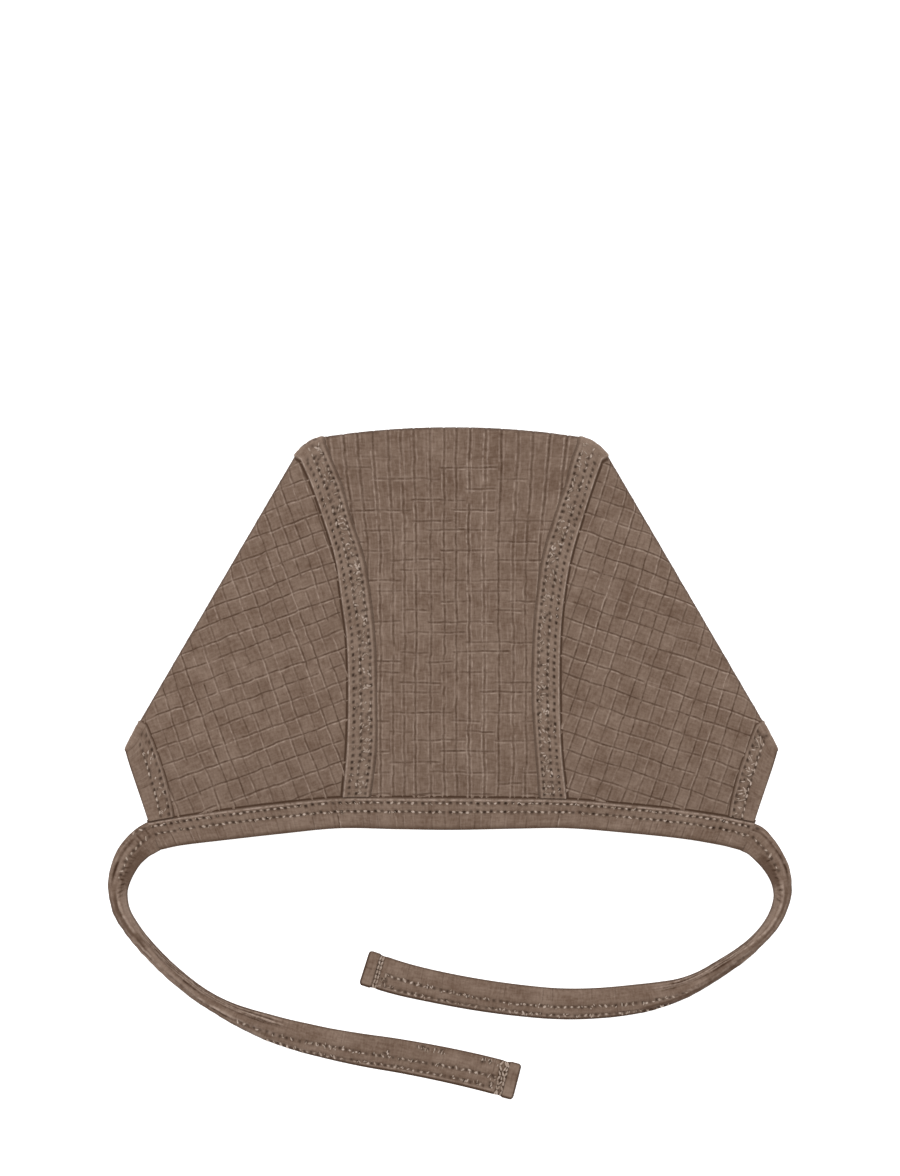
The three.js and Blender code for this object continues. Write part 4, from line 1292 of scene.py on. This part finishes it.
def linear(colour):
    """An sRGB hex colour as linear numbers"""
    parts = [int(colour[k:k + 2], 16) / 255 for k in (1, 3, 5)]
    return tuple(c / 12.92 if c <= 0.04045 else ((c + 0.055) / 1.055) ** 2.4 for c in parts) + (1.0,)


def node(tree, kind, inputs=(), **settings):
    """Adds a node, gives it its settings, and fills sockets with values or with other outputs"""
    made = tree.nodes.new("ShaderNode" + kind)
    for name, value in settings.items():
        setattr(made, name, value)
    for socket, value in dict(inputs).items():
        if isinstance(value, bpy.types.NodeSocket):
            tree.links.new(value, made.inputs[socket])
        else:
            made.inputs[socket].default_value = value
    return made


def new_material(name):
    material = bpy.data.materials.new(name)
    material.use_nodes = True
    tree = material.node_tree
    tree.nodes.clear()
    return material, tree


def times(tree, first, second, **settings):
    return node(tree, "Math", {0: first, 1: second}, operation="MULTIPLY", **settings).outputs[0]


def times_plus(tree, first, second, third):
    return node(tree, "Math", {0: first, 1: second, 2: third}, operation="MULTIPLY_ADD").outputs[0]


def ramp(tree, value, low, high, at_low=0.0, at_high=1.0, **settings):
    """A value taken from one range to another and held at its ends"""
    return node(tree, "MapRange", {
        "Value": value, "From Min": low, "From Max": high, "To Min": at_low, "To Max": at_high,
    }, **settings).outputs[0]


def noise(tree, where, scale, detail=2.0, roughness=0.5):
    return node(tree, "TexNoise", {
        "Vector": where, "Scale": scale, "Detail": detail, "Roughness": roughness,
    }).outputs["Fac"]


def stretched(tree, where, by):
    return node(tree, "VectorMath", {0: where, 1: by}, operation="MULTIPLY").outputs[0]


def blended(tree, share, under, over):
    """One colour over another; sockets 0, 6 and 7 of the node are its share and its two colours"""
    return node(tree, "Mix", {0: share, 6: under, 7: over}, data_type="RGBA").outputs[2]


def check_lines(tree, field, wear):
    found = {"groove": [], "thread": []}
    smooth = {"interpolation_type": "SMOOTHSTEP"}
    for key in ("steep_lines", "level_lines"):
        away, dark, light = node(tree, "SeparateXYZ", {0: field[key]["Vector"]}).outputs
        groove = ramp(tree, away, 0.08 * MM, 0.5 * MM, 1.0, 0.0, **smooth)
        rise = ramp(tree, away, 0.35 * MM, 0.7 * MM, **smooth)
        fall = ramp(tree, away, 0.76 * MM, 0.92 * MM, 1.0, 0.0, **smooth)
        found["groove"].append(times(tree, groove, dark))
        found["thread"].append(times(tree, times(tree, rise, fall), light))
    for kind, pair in found.items():
        stronger = node(tree, "Math", {0: pair[0], 1: pair[1]}, operation="MAXIMUM")
        found[kind] = times(tree, stronger.outputs[0], wear[kind])
    return found


FIELDS = (
    "groove", "thread", "steep_lines", "level_lines", "hole", "ditch", "rolled", "tone", "ribbed", "grain",
)


def dyed_jersey(name, cloth, deep, shadow, drawn, hole_shadow, checked):
    """Matte piece-dyed modal jersey, circular knitted and steamed. The loops are too fine to show,
    about 0.6 mm, so the wales are drawn 1.1 mm apart and faint; grooves, drawn threads and needle
    holes, with their painted shade and highlights, come from the painted fields of each piece."""
    material, tree = new_material(name)
    field = {key: node(tree, "Attribute", attribute_name=key).outputs for key in FIELDS}
    grain = field["grain"]["Vector"]

    # The heather of two shades of fibre, in streaks both ways, and softer blotches of the dye
    streaks = [
        noise(tree, stretched(tree, grain, by), 1100.0, 2.0, 0.6) for by in ((1.0, 0.3, 1.0), (0.3, 1.0, 1.0))
    ]
    heather = node(tree, "Math", {0: streaks[0], 1: streaks[1]}, operation="ADD").outputs[0]
    blotch = ramp(tree, noise(tree, grain, 95.0), 0.3, 0.7, -0.5, 0.5)
    uneven = times_plus(tree, field["tone"]["Fac"], 0.16, blotch)
    speckle = times_plus(tree, heather, 2.4, uneven)
    colour = blended(tree, ramp(tree, speckle, 1.4, 3.4), linear(deep), linear(cloth))

    # Grooves, drawn threads and ribs, worn unevenly. The grooves are darker partly in their own colour and
    # partly as painted shade, and the drawn threads paler partly as painted highlight; the sunk ribs take
    # painted shade and the raised ribs painted highlight
    worn = noise(tree, grain, 520.0, 2.0, 0.6)
    wear = {
        "groove": ramp(tree, worn, 0.36, 0.62, 0.5, 1.25), "thread": ramp(tree, worn, 0.64, 0.36, 0.1, 1.25),
    }
    if checked:
        lines = check_lines(tree, field, wear)
    else:
        lines = {key: times(tree, field[key]["Fac"], worn_by) for key, worn_by in wear.items()}
    ribs = noise(tree, stretched(tree, grain, (1.0, 0.1, 1.0)), 900.0, 1.0)
    for key, low, high in (("raised_rib", 0.6, 0.72), ("sunk_rib", 0.4, 0.28)):
        lines[key] = times(tree, ramp(tree, ribs, low, high), field["ribbed"]["Fac"])
    strength = 0.66 if checked else 0.95
    # Marks over the dyed colour: the drawn colour for the paler threads and the painted highlights of ridges,
    # folds and creases; the shadow colour for painted shade in grooves, sunk ribs, rounded edges, ditches and
    # bent slopes; and the hole colour for the painted shadow in needle holes and pits
    for key, share, tint in (
        ("raised_rib", 0.3, drawn), ("sunk_rib", 0.3, shadow), ("thread", strength, drawn),
        ("groove", strength, shadow), ("rolled", 0.85, shadow), ("ditch", 1.0, shadow), ("hole", 1.0, hole_shadow),
    ):
        how_much = lines[key] if key in lines else field[key]["Fac"]
        colour = blended(tree, times(tree, how_much, share, use_clamp=True), colour, linear(tint))

    wales = node(tree, "TexWave", {
        "Vector": grain, "Scale": 0.314 / 1.1 / MM, "Distortion": 1.2, "Detail": 2.0, "Detail Scale": 1.5,
    }, bands_direction="X")
    loops = times_plus(tree, wales.outputs["Fac"], 0.35, heather)
    bump = node(tree, "Bump", {"Height": loops, "Strength": 0.45, "Distance": 0.15 * MM})
    shader = node(tree, "BsdfPrincipled", {
        "Base Color": colour, "Roughness": 0.92, "IOR": 1.45, "Specular IOR Level": 0.15,
        "Sheen Weight": 0.06, "Sheen Roughness": 0.5, "Normal": bump.outputs[0],
    })
    node(tree, "OutputMaterial", {"Surface": shader.outputs[0]})
    return material


def spun_thread(name, light, dark):
    """Spun polyester sewing thread: a little smoother and lighter than the cloth, with its twist
    too fine to show but for a slight unevenness"""
    material, tree = new_material(name)
    where = node(tree, "TexCoord").outputs["Object"]
    fibres = noise(tree, where, 1400.0)
    share = ramp(tree, times(tree, fibres, noise(tree, where, 220.0, 1.0)), 0.12, 0.4)
    bump = node(tree, "Bump", {"Height": fibres, "Strength": 0.3, "Distance": 0.05 * MM})
    shader = node(tree, "BsdfPrincipled", {
        "Base Color": blended(tree, share, linear(dark), linear(light)), "Roughness": 0.7, "IOR": 1.5,
        "Specular IOR Level": 0.3, "Normal": bump.outputs[0],
    })
    node(tree, "OutputMaterial", {"Surface": shader.outputs[0]})
    return material


def lit_paper(name):
    """White paper on a light table: it stays white under the bonnet's soft shadow"""
    material, tree = new_material(name)
    shader = node(tree, "BsdfPrincipled", {
        "Base Color": (0.9, 0.9, 0.9, 1), "Roughness": 1.0, "Specular IOR Level": 0.0,
        "Emission Color": (1, 1, 1, 1), "Emission Strength": 0.75,
    })
    node(tree, "OutputMaterial", {"Surface": shader.outputs[0]})
    return material


# Camera, floor and light

def camera():
    """Straight above, so that the picture is taken at its own scale at the height of the folds"""
    data = bpy.data.cameras.new("camera")
    data.lens, data.sensor_width = LENS, SENSOR
    data.clip_start, data.clip_end = 0.1, 10
    made = set_down("camera", data)
    distance = PICTURE[1] * PIXEL / 2 / (SENSOR / 2 / LENS)
    x = (PICTURE[0] / 2 - MIDDLE[0]) * PIXEL
    y = (MIDDLE[1] - PICTURE[1] / 2) * PIXEL
    made.location = Vector((x, y, distance + FOLD_HEIGHT))
    bpy.context.scene.camera = made


def studio():
    """White paper under the bonnet, a large soft window at its upper right, and a pale room"""
    mesh = bpy.data.meshes.new("floor")
    mesh.from_pydata([(-3, -3, 0), (3, -3, 0), (3, 3, 0), (-3, 3, 0)], [], [(0, 1, 2, 3)])
    mesh.materials.append(lit_paper("white_paper"))
    floor = set_down("floor", mesh)
    floor.location.z = -0.05 * MM

    window = bpy.data.lights.new("window", "SUN")
    window.energy, window.angle = 1.15, math.radians(30)
    lamp = set_down("window", window)
    lamp.rotation_euler = Vector((-0.1, 0.28, 0.95)).to_track_quat("Z", "Y").to_euler()

    world = bpy.data.worlds.new("room")
    world.use_nodes = True
    sky = world.node_tree.nodes["Background"].inputs
    sky["Color"].default_value = (1, 1, 1, 1)
    sky["Strength"].default_value = 0.72
    bpy.context.scene.world = world
    bpy.context.scene.view_settings.view_transform = "Standard"


camera()
studio()
# Shadow: painted shade; drawn: the paler threads and the painted highlights; the hole colour: painted shadow
# in the needle holes and pits
DYE = {"shadow": "#443022", "drawn": "#ab978a", "hole_shadow": "#2c1c10"}
panel_jersey = dyed_jersey("modal_jersey_drop_needle", "#857163", "#655042", checked=True, **DYE)
band_jersey = dyed_jersey("modal_jersey_folded", "#8a7668", "#685345", checked=False, **DYE)
sewing_thread = spun_thread("spun_sewing_thread", "#c4b2a5", "#8c7868")
# A darker copy of the sewing thread: painted shade where it sinks into the cloth of the seam bands
shaded_sunk_thread = spun_thread("spun_thread_in_painted_shade", "#b5a396", "#857161")


# The ties

def make_tie(side, name, route, crease, seed):
    """One tie: its strap, and its rows of stitches where they show, with loose threads along them"""
    tie = Tie(side, route, crease)
    rng = np.random.default_rng(seed)
    lines, strengths = cross_lines(rng, tie.length - 8 * MM, 26, 4 * MM)
    strap = tie_strap(f"{name}_strap", band_jersey, tie, lines, strengths, seed)
    sewn = tie.cap - 3.6 * MM
    rows = [
        bead_row(tie.sewn_skin, sewn, row, seed + k, 1.2, 0.35 * MM, missing=0.2, seen=tie.seen, reach=0.6)
        for k, (row, _) in enumerate(tie.ROWS)
    ]
    rows += [
        flecks(
            tie.sewn_skin, (shows + 4 * MM, sewn, row - 0.7 * MM, row + 0.7 * MM, 0.9), seed + 30 + k, 0.95,
            1.3 * MM, (35, 90),
        )
        for k, ((row, _), shows) in enumerate(zip(tie.ROWS, tie.hidden[1]))
    ]
    rows += bar_stitches(tie, seed)
    sewing = stitches(f"{name}_stitches", sewing_thread, rows)
    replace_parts(strap, name)
    along = np.linspace(0.0, tie.length, 80)
    path = tie.place(np.full(80, TIE_WIDTH / 2), along, 0)[0]


def bar_stitches(tie, seed):
    """The stitches across the strap that hold its turned-in end, and its loose threads"""
    rng = np.random.default_rng(seed + 9)
    parts = []
    for back, slant in TIE_BARS[tie.side]:
        for at in np.arange(0.9 * MM, TIE_WIDTH - 0.8 * MM, 1.7 * MM):
            t = np.array([-1, -0.6, 0, 0.6, 1]) * rng.uniform(0.5, 0.75)
            d = at + t * MM
            lean = rng.uniform(-0.3, 0.3) if tie.side > 0 else rng.uniform(-0.8, 0.8)
            s = tie.cap - back + slant * (d - TIE_WIDTH / 2) + t * lean * MM
            points, up = tie.skin(d, s)
            lift = np.array([-0.4, -0.05, 0.1, -0.05, -0.4])[:, None] * MM
            points = points + up * lift
            parts.append(thread_mesh(points[None], up[None], THREAD * rng.uniform(1.1, 1.5)))
    for start, stop, *rest in TIE_LOOSE[tie.side]:
        area = (tie.cap - start, tie.cap - stop, *rest)
        parts.append(flecks(tie.skin, area, seed + int(start / MM), 1.0, 1.6 * MM, (50, 90)))
    return parts


make_tie(-1, "tie_left", LEFT_ROUTE, LEFT_CREASE, 201)
make_tie(1, "tie_right", RIGHT_ROUTE, RIGHT_CREASE, 301)


# The panels

def centre_panel():
    rng = np.random.default_rng(5)
    half, end, top = 0.052, 0.062, 0.073
    columns = uneven_lines(rng, -half, half, 4.1 * MM, 5.5 * MM)
    upper = uneven_lines(rng, -end, top, 3.2 * MM, 4.3 * MM)
    lower = uneven_lines(rng, top + 3 * MM, 0.167, 6.0 * MM, 8.0 * MM)
    rows = np.concatenate([upper, lower])
    down = broken_runs(rng, len(upper), len(columns) + 1, 2, 5)
    down[upper > 0.066] *= 0.3
    down = np.concatenate([down, whole_lines(rng, len(lower), len(columns) + 1, 0.1, 0.4, 0.9)])
    across_dark = whole_lines(rng, len(columns), len(rows) + 1, 0.05, 0.5, 1.0)
    across_light = whole_lines(rng, len(columns), len(rows) + 1, 0.05, 0.4, 1.0)
    strengths = (across_dark, across_light, down, down * rng.uniform(0.5, 1.0, down.shape))
    made = checked_panel(
        "centre_panel_knit", panel_jersey, (laid_over_crown, centre_room, lambda flat: crown_past(flat)[1]),
        0, ruling(columns, -end, end, 0.8), ruling(rows, -end, 0.17, 0.5, 1.1), strengths, 0.6, 40,
        drawn_out=True,
    )
    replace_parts(made, "centre_panel")


def side_panel(side, turn, seed):
    rng = np.random.default_rng(seed)
    name = "side_panel_left" if side < 0 else "side_panel_right"
    cosine, sine = math.cos(math.radians(turn)), math.sin(math.radians(turn))
    # Corners of the panel, opened out flat, to know how far its lines have to run
    corners = np.array([
        fold_at(side, SEAM_END)[0], fold_at(side, SIDE_END)[0], (side * 0.036, -0.064),
        (side * 0.107, -0.072), reflected(side, (side * 0.048, 0.0)), reflected(side, (side * 0.052, 0.065)),
        reflected(side, (side * 0.105, -0.036)),
    ])
    u = corners[:, 0] * cosine + corners[:, 1] * sine
    v = -corners[:, 0] * sine + corners[:, 1] * cosine
    span_u, span_v = (u.min() - 3 * MM, u.max() + 3 * MM), (v.min() - 3 * MM, v.max() + 3 * MM)
    columns = uneven_lines(rng, *span_u, 4.1 * MM, 5.4 * MM)
    rows = uneven_lines(rng, *span_v, 5.7 * MM, 7.3 * MM)
    strengths = (
        whole_lines(rng, len(columns), len(rows) + 1, 0.1, 0.5, 1.15),
        whole_lines(rng, len(columns), len(rows) + 1, 0.2, 0.3, 1.1),
        whole_lines(rng, len(rows), len(columns) + 1, 0.07, 0.75, 1.25),
        whole_lines(rng, len(rows), len(columns) + 1, 0.12, 0.4, 1.1),
    )
    made = checked_panel(
        f"{name}_knit", panel_jersey, side_cloth(side), turn,
        ruling(columns, *span_u, 0.2, 1.2), ruling(rows, *span_v, 0.35, 1.2), strengths, 0.08, seed,
    )
    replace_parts(made, name)


def reflected(side, spot):
    """A spot of the lower layer, where it would be if the side fold were opened out"""
    start, outward = fold_at(side, SEAM_END)
    past = (np.array(spot) - start) @ outward
    return np.array(spot) + outward * (FOLD_LENGTH - 2 * past)


centre_panel()
side_panel(-1, 20.0, 60)
side_panel(1, -18.5, 80)


# The bands and bindings

def over_crown(side):
    """Surface of a seam band: f from its inner to its outer edge, way from the neck over the crown"""
    def fold(f):
        line, outward = fold_at(side, lerp(SEAM_START + GAP / 2, SEAM_END - GAP / 2, f))
        return line, outward * FOLD_RADIUS

    first, last = seam_edge(side, "inner", GAP / 2), seam_edge(side, "outer", -GAP / 2)
    low_first, low_last = lower_seam_edge(side, "inner", GAP / 2), lower_seam_edge(side, "outer", -GAP / 2)
    foot = [first(np.zeros(1))[0, 0], last(np.zeros(1))[0, 0]]
    end = [low_first(np.ones(1))[0, 0], low_last(np.ones(1))[0, 0]]

    def neck(f):
        x = lerp(foot[0], foot[1], f)
        return plan(x, neck_top(x) + GAP / 2)

    def face(f):
        x = lerp(end[0], end[1], f)
        return plan(x, inner_curve(x) + GAP / 2)

    def crown(f):
        return fold(f)[0]

    upper = between(neck, crown, first, last)
    lower = between(crown, face, low_first, low_last)
    return over_the_fold(upper, lower, fold)


def face_strip(f, way):
    """Surface of the face binding: f from its inner to its free edge, way 0 to 3 over the left half
    and 3 to 6 back over the right half"""
    f, way = np.broadcast_arrays(np.asarray(f, float), np.asarray(way, float))
    halves = [face_half(side)(f, np.clip(w, 0, 3)) for side, w in ((-1, way), (1, 6 - way))]
    return np.where((way <= 3)[..., None], halves[0], halves[1])


def face_half(side):
    def fold(g):
        line, outward = fold_at(side, lerp(SIDE_END + GAP / 2, FOLD_END, g))
        pressed = (np.asarray(g, float) ** 6)[..., None]
        rounded = 0.4 * MM * ease((np.asarray(g, float) - 0.86) / 0.14)[..., None] ** 2
        return line + outward * (FOLD_RADIUS * pressed - rounded), outward * FOLD_RADIUS * (1 - pressed)

    def rim(g):
        return fold(g)[0]

    inner = face_inner_edge(side, GAP / 2)
    foot_in = abs(inner(np.zeros(1))[0, 0])
    corner = np.array([side * FACE_CORNER[0], FACE_CORNER[1]])
    rim_in, rim_out = rim(np.zeros(1))[0], rim(np.ones(1))[0]

    def foot(g):
        x = side * lerp(foot_in, FACE_FOOT["outer"], g)
        return plan(x, neck_top(x) + GAP / 2)

    foot_out = foot(np.ones(1))[0]

    def free(t):
        t = t[..., None]
        return lerp(foot_out, corner, t) + t**8 * (rim_out - corner)

    def middle(g):
        return plan(0 * g, lerp(FACE_INNER - GAP / 2, FACE_OUTER, g))

    def low_inner(v):
        x = lerp(rim_in[0], 0, v)
        return plan(x, inner_curve(x) - GAP / 2)

    def low_free(v):
        x = lerp(rim_out[0], 0, v)
        return plan(x, outer_curve(x))

    return over_the_fold(between(foot, rim, inner, free), between(rim, middle, low_inner, low_free), fold)


def neck_strip(f, way):
    """Surface of the neck binding: f from its upper to its lower edge, way from left to right"""
    f, way = np.broadcast_arrays(np.asarray(f, float), np.asarray(way, float))
    end = lerp(NECK_END["top"], NECK_END["bottom"], f)
    x = lerp(-end, end, way)
    y = lerp(neck_top(x) - GAP / 2, neck_bottom(x), f)
    return np.stack([x, y, cloth_height(x, y)], -1)


def seam_band(side, seed):
    name = "seam_band_left" if side < 0 else "seam_band_right"
    strip = Strip(
        over_crown(side), 3, width=SEAM_WIDTH, stitched_edge="far", seed=seed,
        holes=((2.4 * MM, 1.0), (5.2 * MM, 1.0), (8.8 * MM, 0.95)), before=1.1 * MM, after=0.5 * MM,
        depth=SEAM_DEPTH, soft=0.9 * MM, edge_left=0.0, plain_from=8.6 * MM, ridge_highlight=0.8, far_ridge_highlight=0.35,
        ditch=1.0, rolled=0.6, rim=0.6 * MM, bare=((1.14, 2),), tone=1.8, lift=SEAM_RAISE,
        pits=((0, 1, 5.7 * MM, 8.4 * MM, 1.2), (0, 1, 2.6 * MM, 4.8 * MM, 0.3)),
    )
    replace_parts(strip_knit(f"{name}_knit", band_jersey, strip), name)
    along = strip.along
    open_runs = ((MM, along(1) + 1.1 * MM), (along(2) + 2.2 * MM, along(3) - MM))
    parts = [
        bead_row(strip.skin, along(3), 4.9 * MM, seed + 1, 1.15, 0.3 * MM, 0.3, on_runs(open_runs)),
        bead_row(strip.skin, along(3), 8.5 * MM, seed + 2, 1.0, 0.3 * MM, 0.4, on_runs(open_runs)),
    ]
    for number, run in enumerate(open_runs):
        shift = seed + 10 * number
        parts.append(flecks(strip.skin, (*run, 2.0 * MM, 3.2 * MM, 0.5), shift, 0.8, 1.2 * MM))
        parts.append(flecks(strip.skin, (*run, 5.6 * MM, 8.4 * MM, 2.3), shift + 3, 1.45, 1.9 * MM, (10, 90)))
    stitches(f"{name}_stitches", shaded_sunk_thread, parts)


def face_binding():
    lines, strengths = cross_lines(np.random.default_rng(500), 0.3, 60)
    strip = Strip(
        face_strip, 6, width=FACE_WIDTH, stitched_edge="near", seed=501, returns=True,
        holes=((1.5 * MM, 0.9), (5.4 * MM, 0.9)), before=0.7 * MM, depth=BINDING_DEPTH, soft=0.7 * MM,
        edge_left=0.25, plain_from=6.2 * MM, ridge_highlight=0.3, ditch=0.9, rolled=1.0, rim=0.6 * MM,
        bare=((1.3, 1.7), (4.3, 4.7)), tone=0.3, lift=BINDING_RAISE,
        pits=((0, 0.5, 2.2 * MM, 4.8 * MM, 0.5), (0.5, 1, 1.8 * MM, 5.0 * MM, 1.5)),
        lines=lines, strengths=strengths,
    )
    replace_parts(strip_knit("face_binding_knit", band_jersey, strip), "face_binding")
    skin, along, fold = strip.skin, strip.along, 1.2 * MM
    middle = along(3)
    open_runs = ((MM, along(1) - fold), (along(2) + fold, along(4) - fold), (along(5) + fold, along(6) - MM))
    parts = [bead_row(skin, along(6), 5.4 * MM, 510, 1.2, missing=0.15, seen=on_runs(open_runs))]
    for number, (start, stop) in enumerate(open_runs):
        seed = 520 + 10 * number
        left, right = (start, min(stop, middle)), (max(start, middle), stop)
        parts.append(flecks(skin, (start, stop, 1.6 * MM, 2.6 * MM, 0.7), seed, 0.8, 1.3 * MM))
        if start < middle:
            parts.append(flecks(skin, (*left, 2.6 * MM, 4.8 * MM, 1.0), seed + 1, 0.8, 1.5 * MM))
        if stop > middle:
            parts.append(flecks(skin, (*right, 2.0 * MM, 4.8 * MM, 2.4), seed + 2, 1.1, 3.0 * MM, (35, 80)))
    stitches("face_binding_stitches", sewing_thread, parts)


def neck_binding():
    lines, strengths = cross_lines(np.random.default_rng(600), 0.22, 90)
    for x in NECK_JOINTS:
        at = x + (NECK_END["top"] + NECK_END["bottom"]) / 2
        near = np.abs(lines - at) > 1.4 * MM
        lines = np.append(lines[near], at)
        strengths = [pair for pair, kept in zip(strengths, near) if kept] + [(0.9, 0.8)]
    strip = Strip(
        neck_strip, 1, width=NECK_WIDTH, stitched_edge="near", seed=601,
        holes=((1.8 * MM, 1.0), (5.0 * MM, 1.0)), before=1.0 * MM, depth=BINDING_DEPTH, soft=0.7 * MM,
        edge_left=0.25, plain_from=5.8 * MM, ridge_highlight=0.9, ditch=1.0, rolled=0.92, rim=2.0 * MM,
        lines=lines, strengths=strengths, lift=BINDING_RAISE,
    )
    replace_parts(strip_knit("neck_binding_knit", band_jersey, strip), "neck_binding")
    skin, run = strip.skin, (MM, strip.length - MM)
    stitches("neck_binding_stitches", sewing_thread, [
        bead_row(skin, strip.length, 1.8 * MM, 610, 1.25, 0.2 * MM, missing=0.25, reach=0.75),
        bead_row(skin, strip.length, 5.0 * MM, 611, 1.25, 0.2 * MM, missing=0.08, reach=0.75),
        flecks(skin, (*run, 1.4 * MM, 2.2 * MM, 0.6), 614, 0.75, 1.3 * MM),
        flecks(skin, (*run, 4.6 * MM, 5.6 * MM, 0.4), 615, 0.75, 1.3 * MM),
    ])


seam_band(-1, 401)
seam_band(1, 431)
face_binding()
neck_binding()
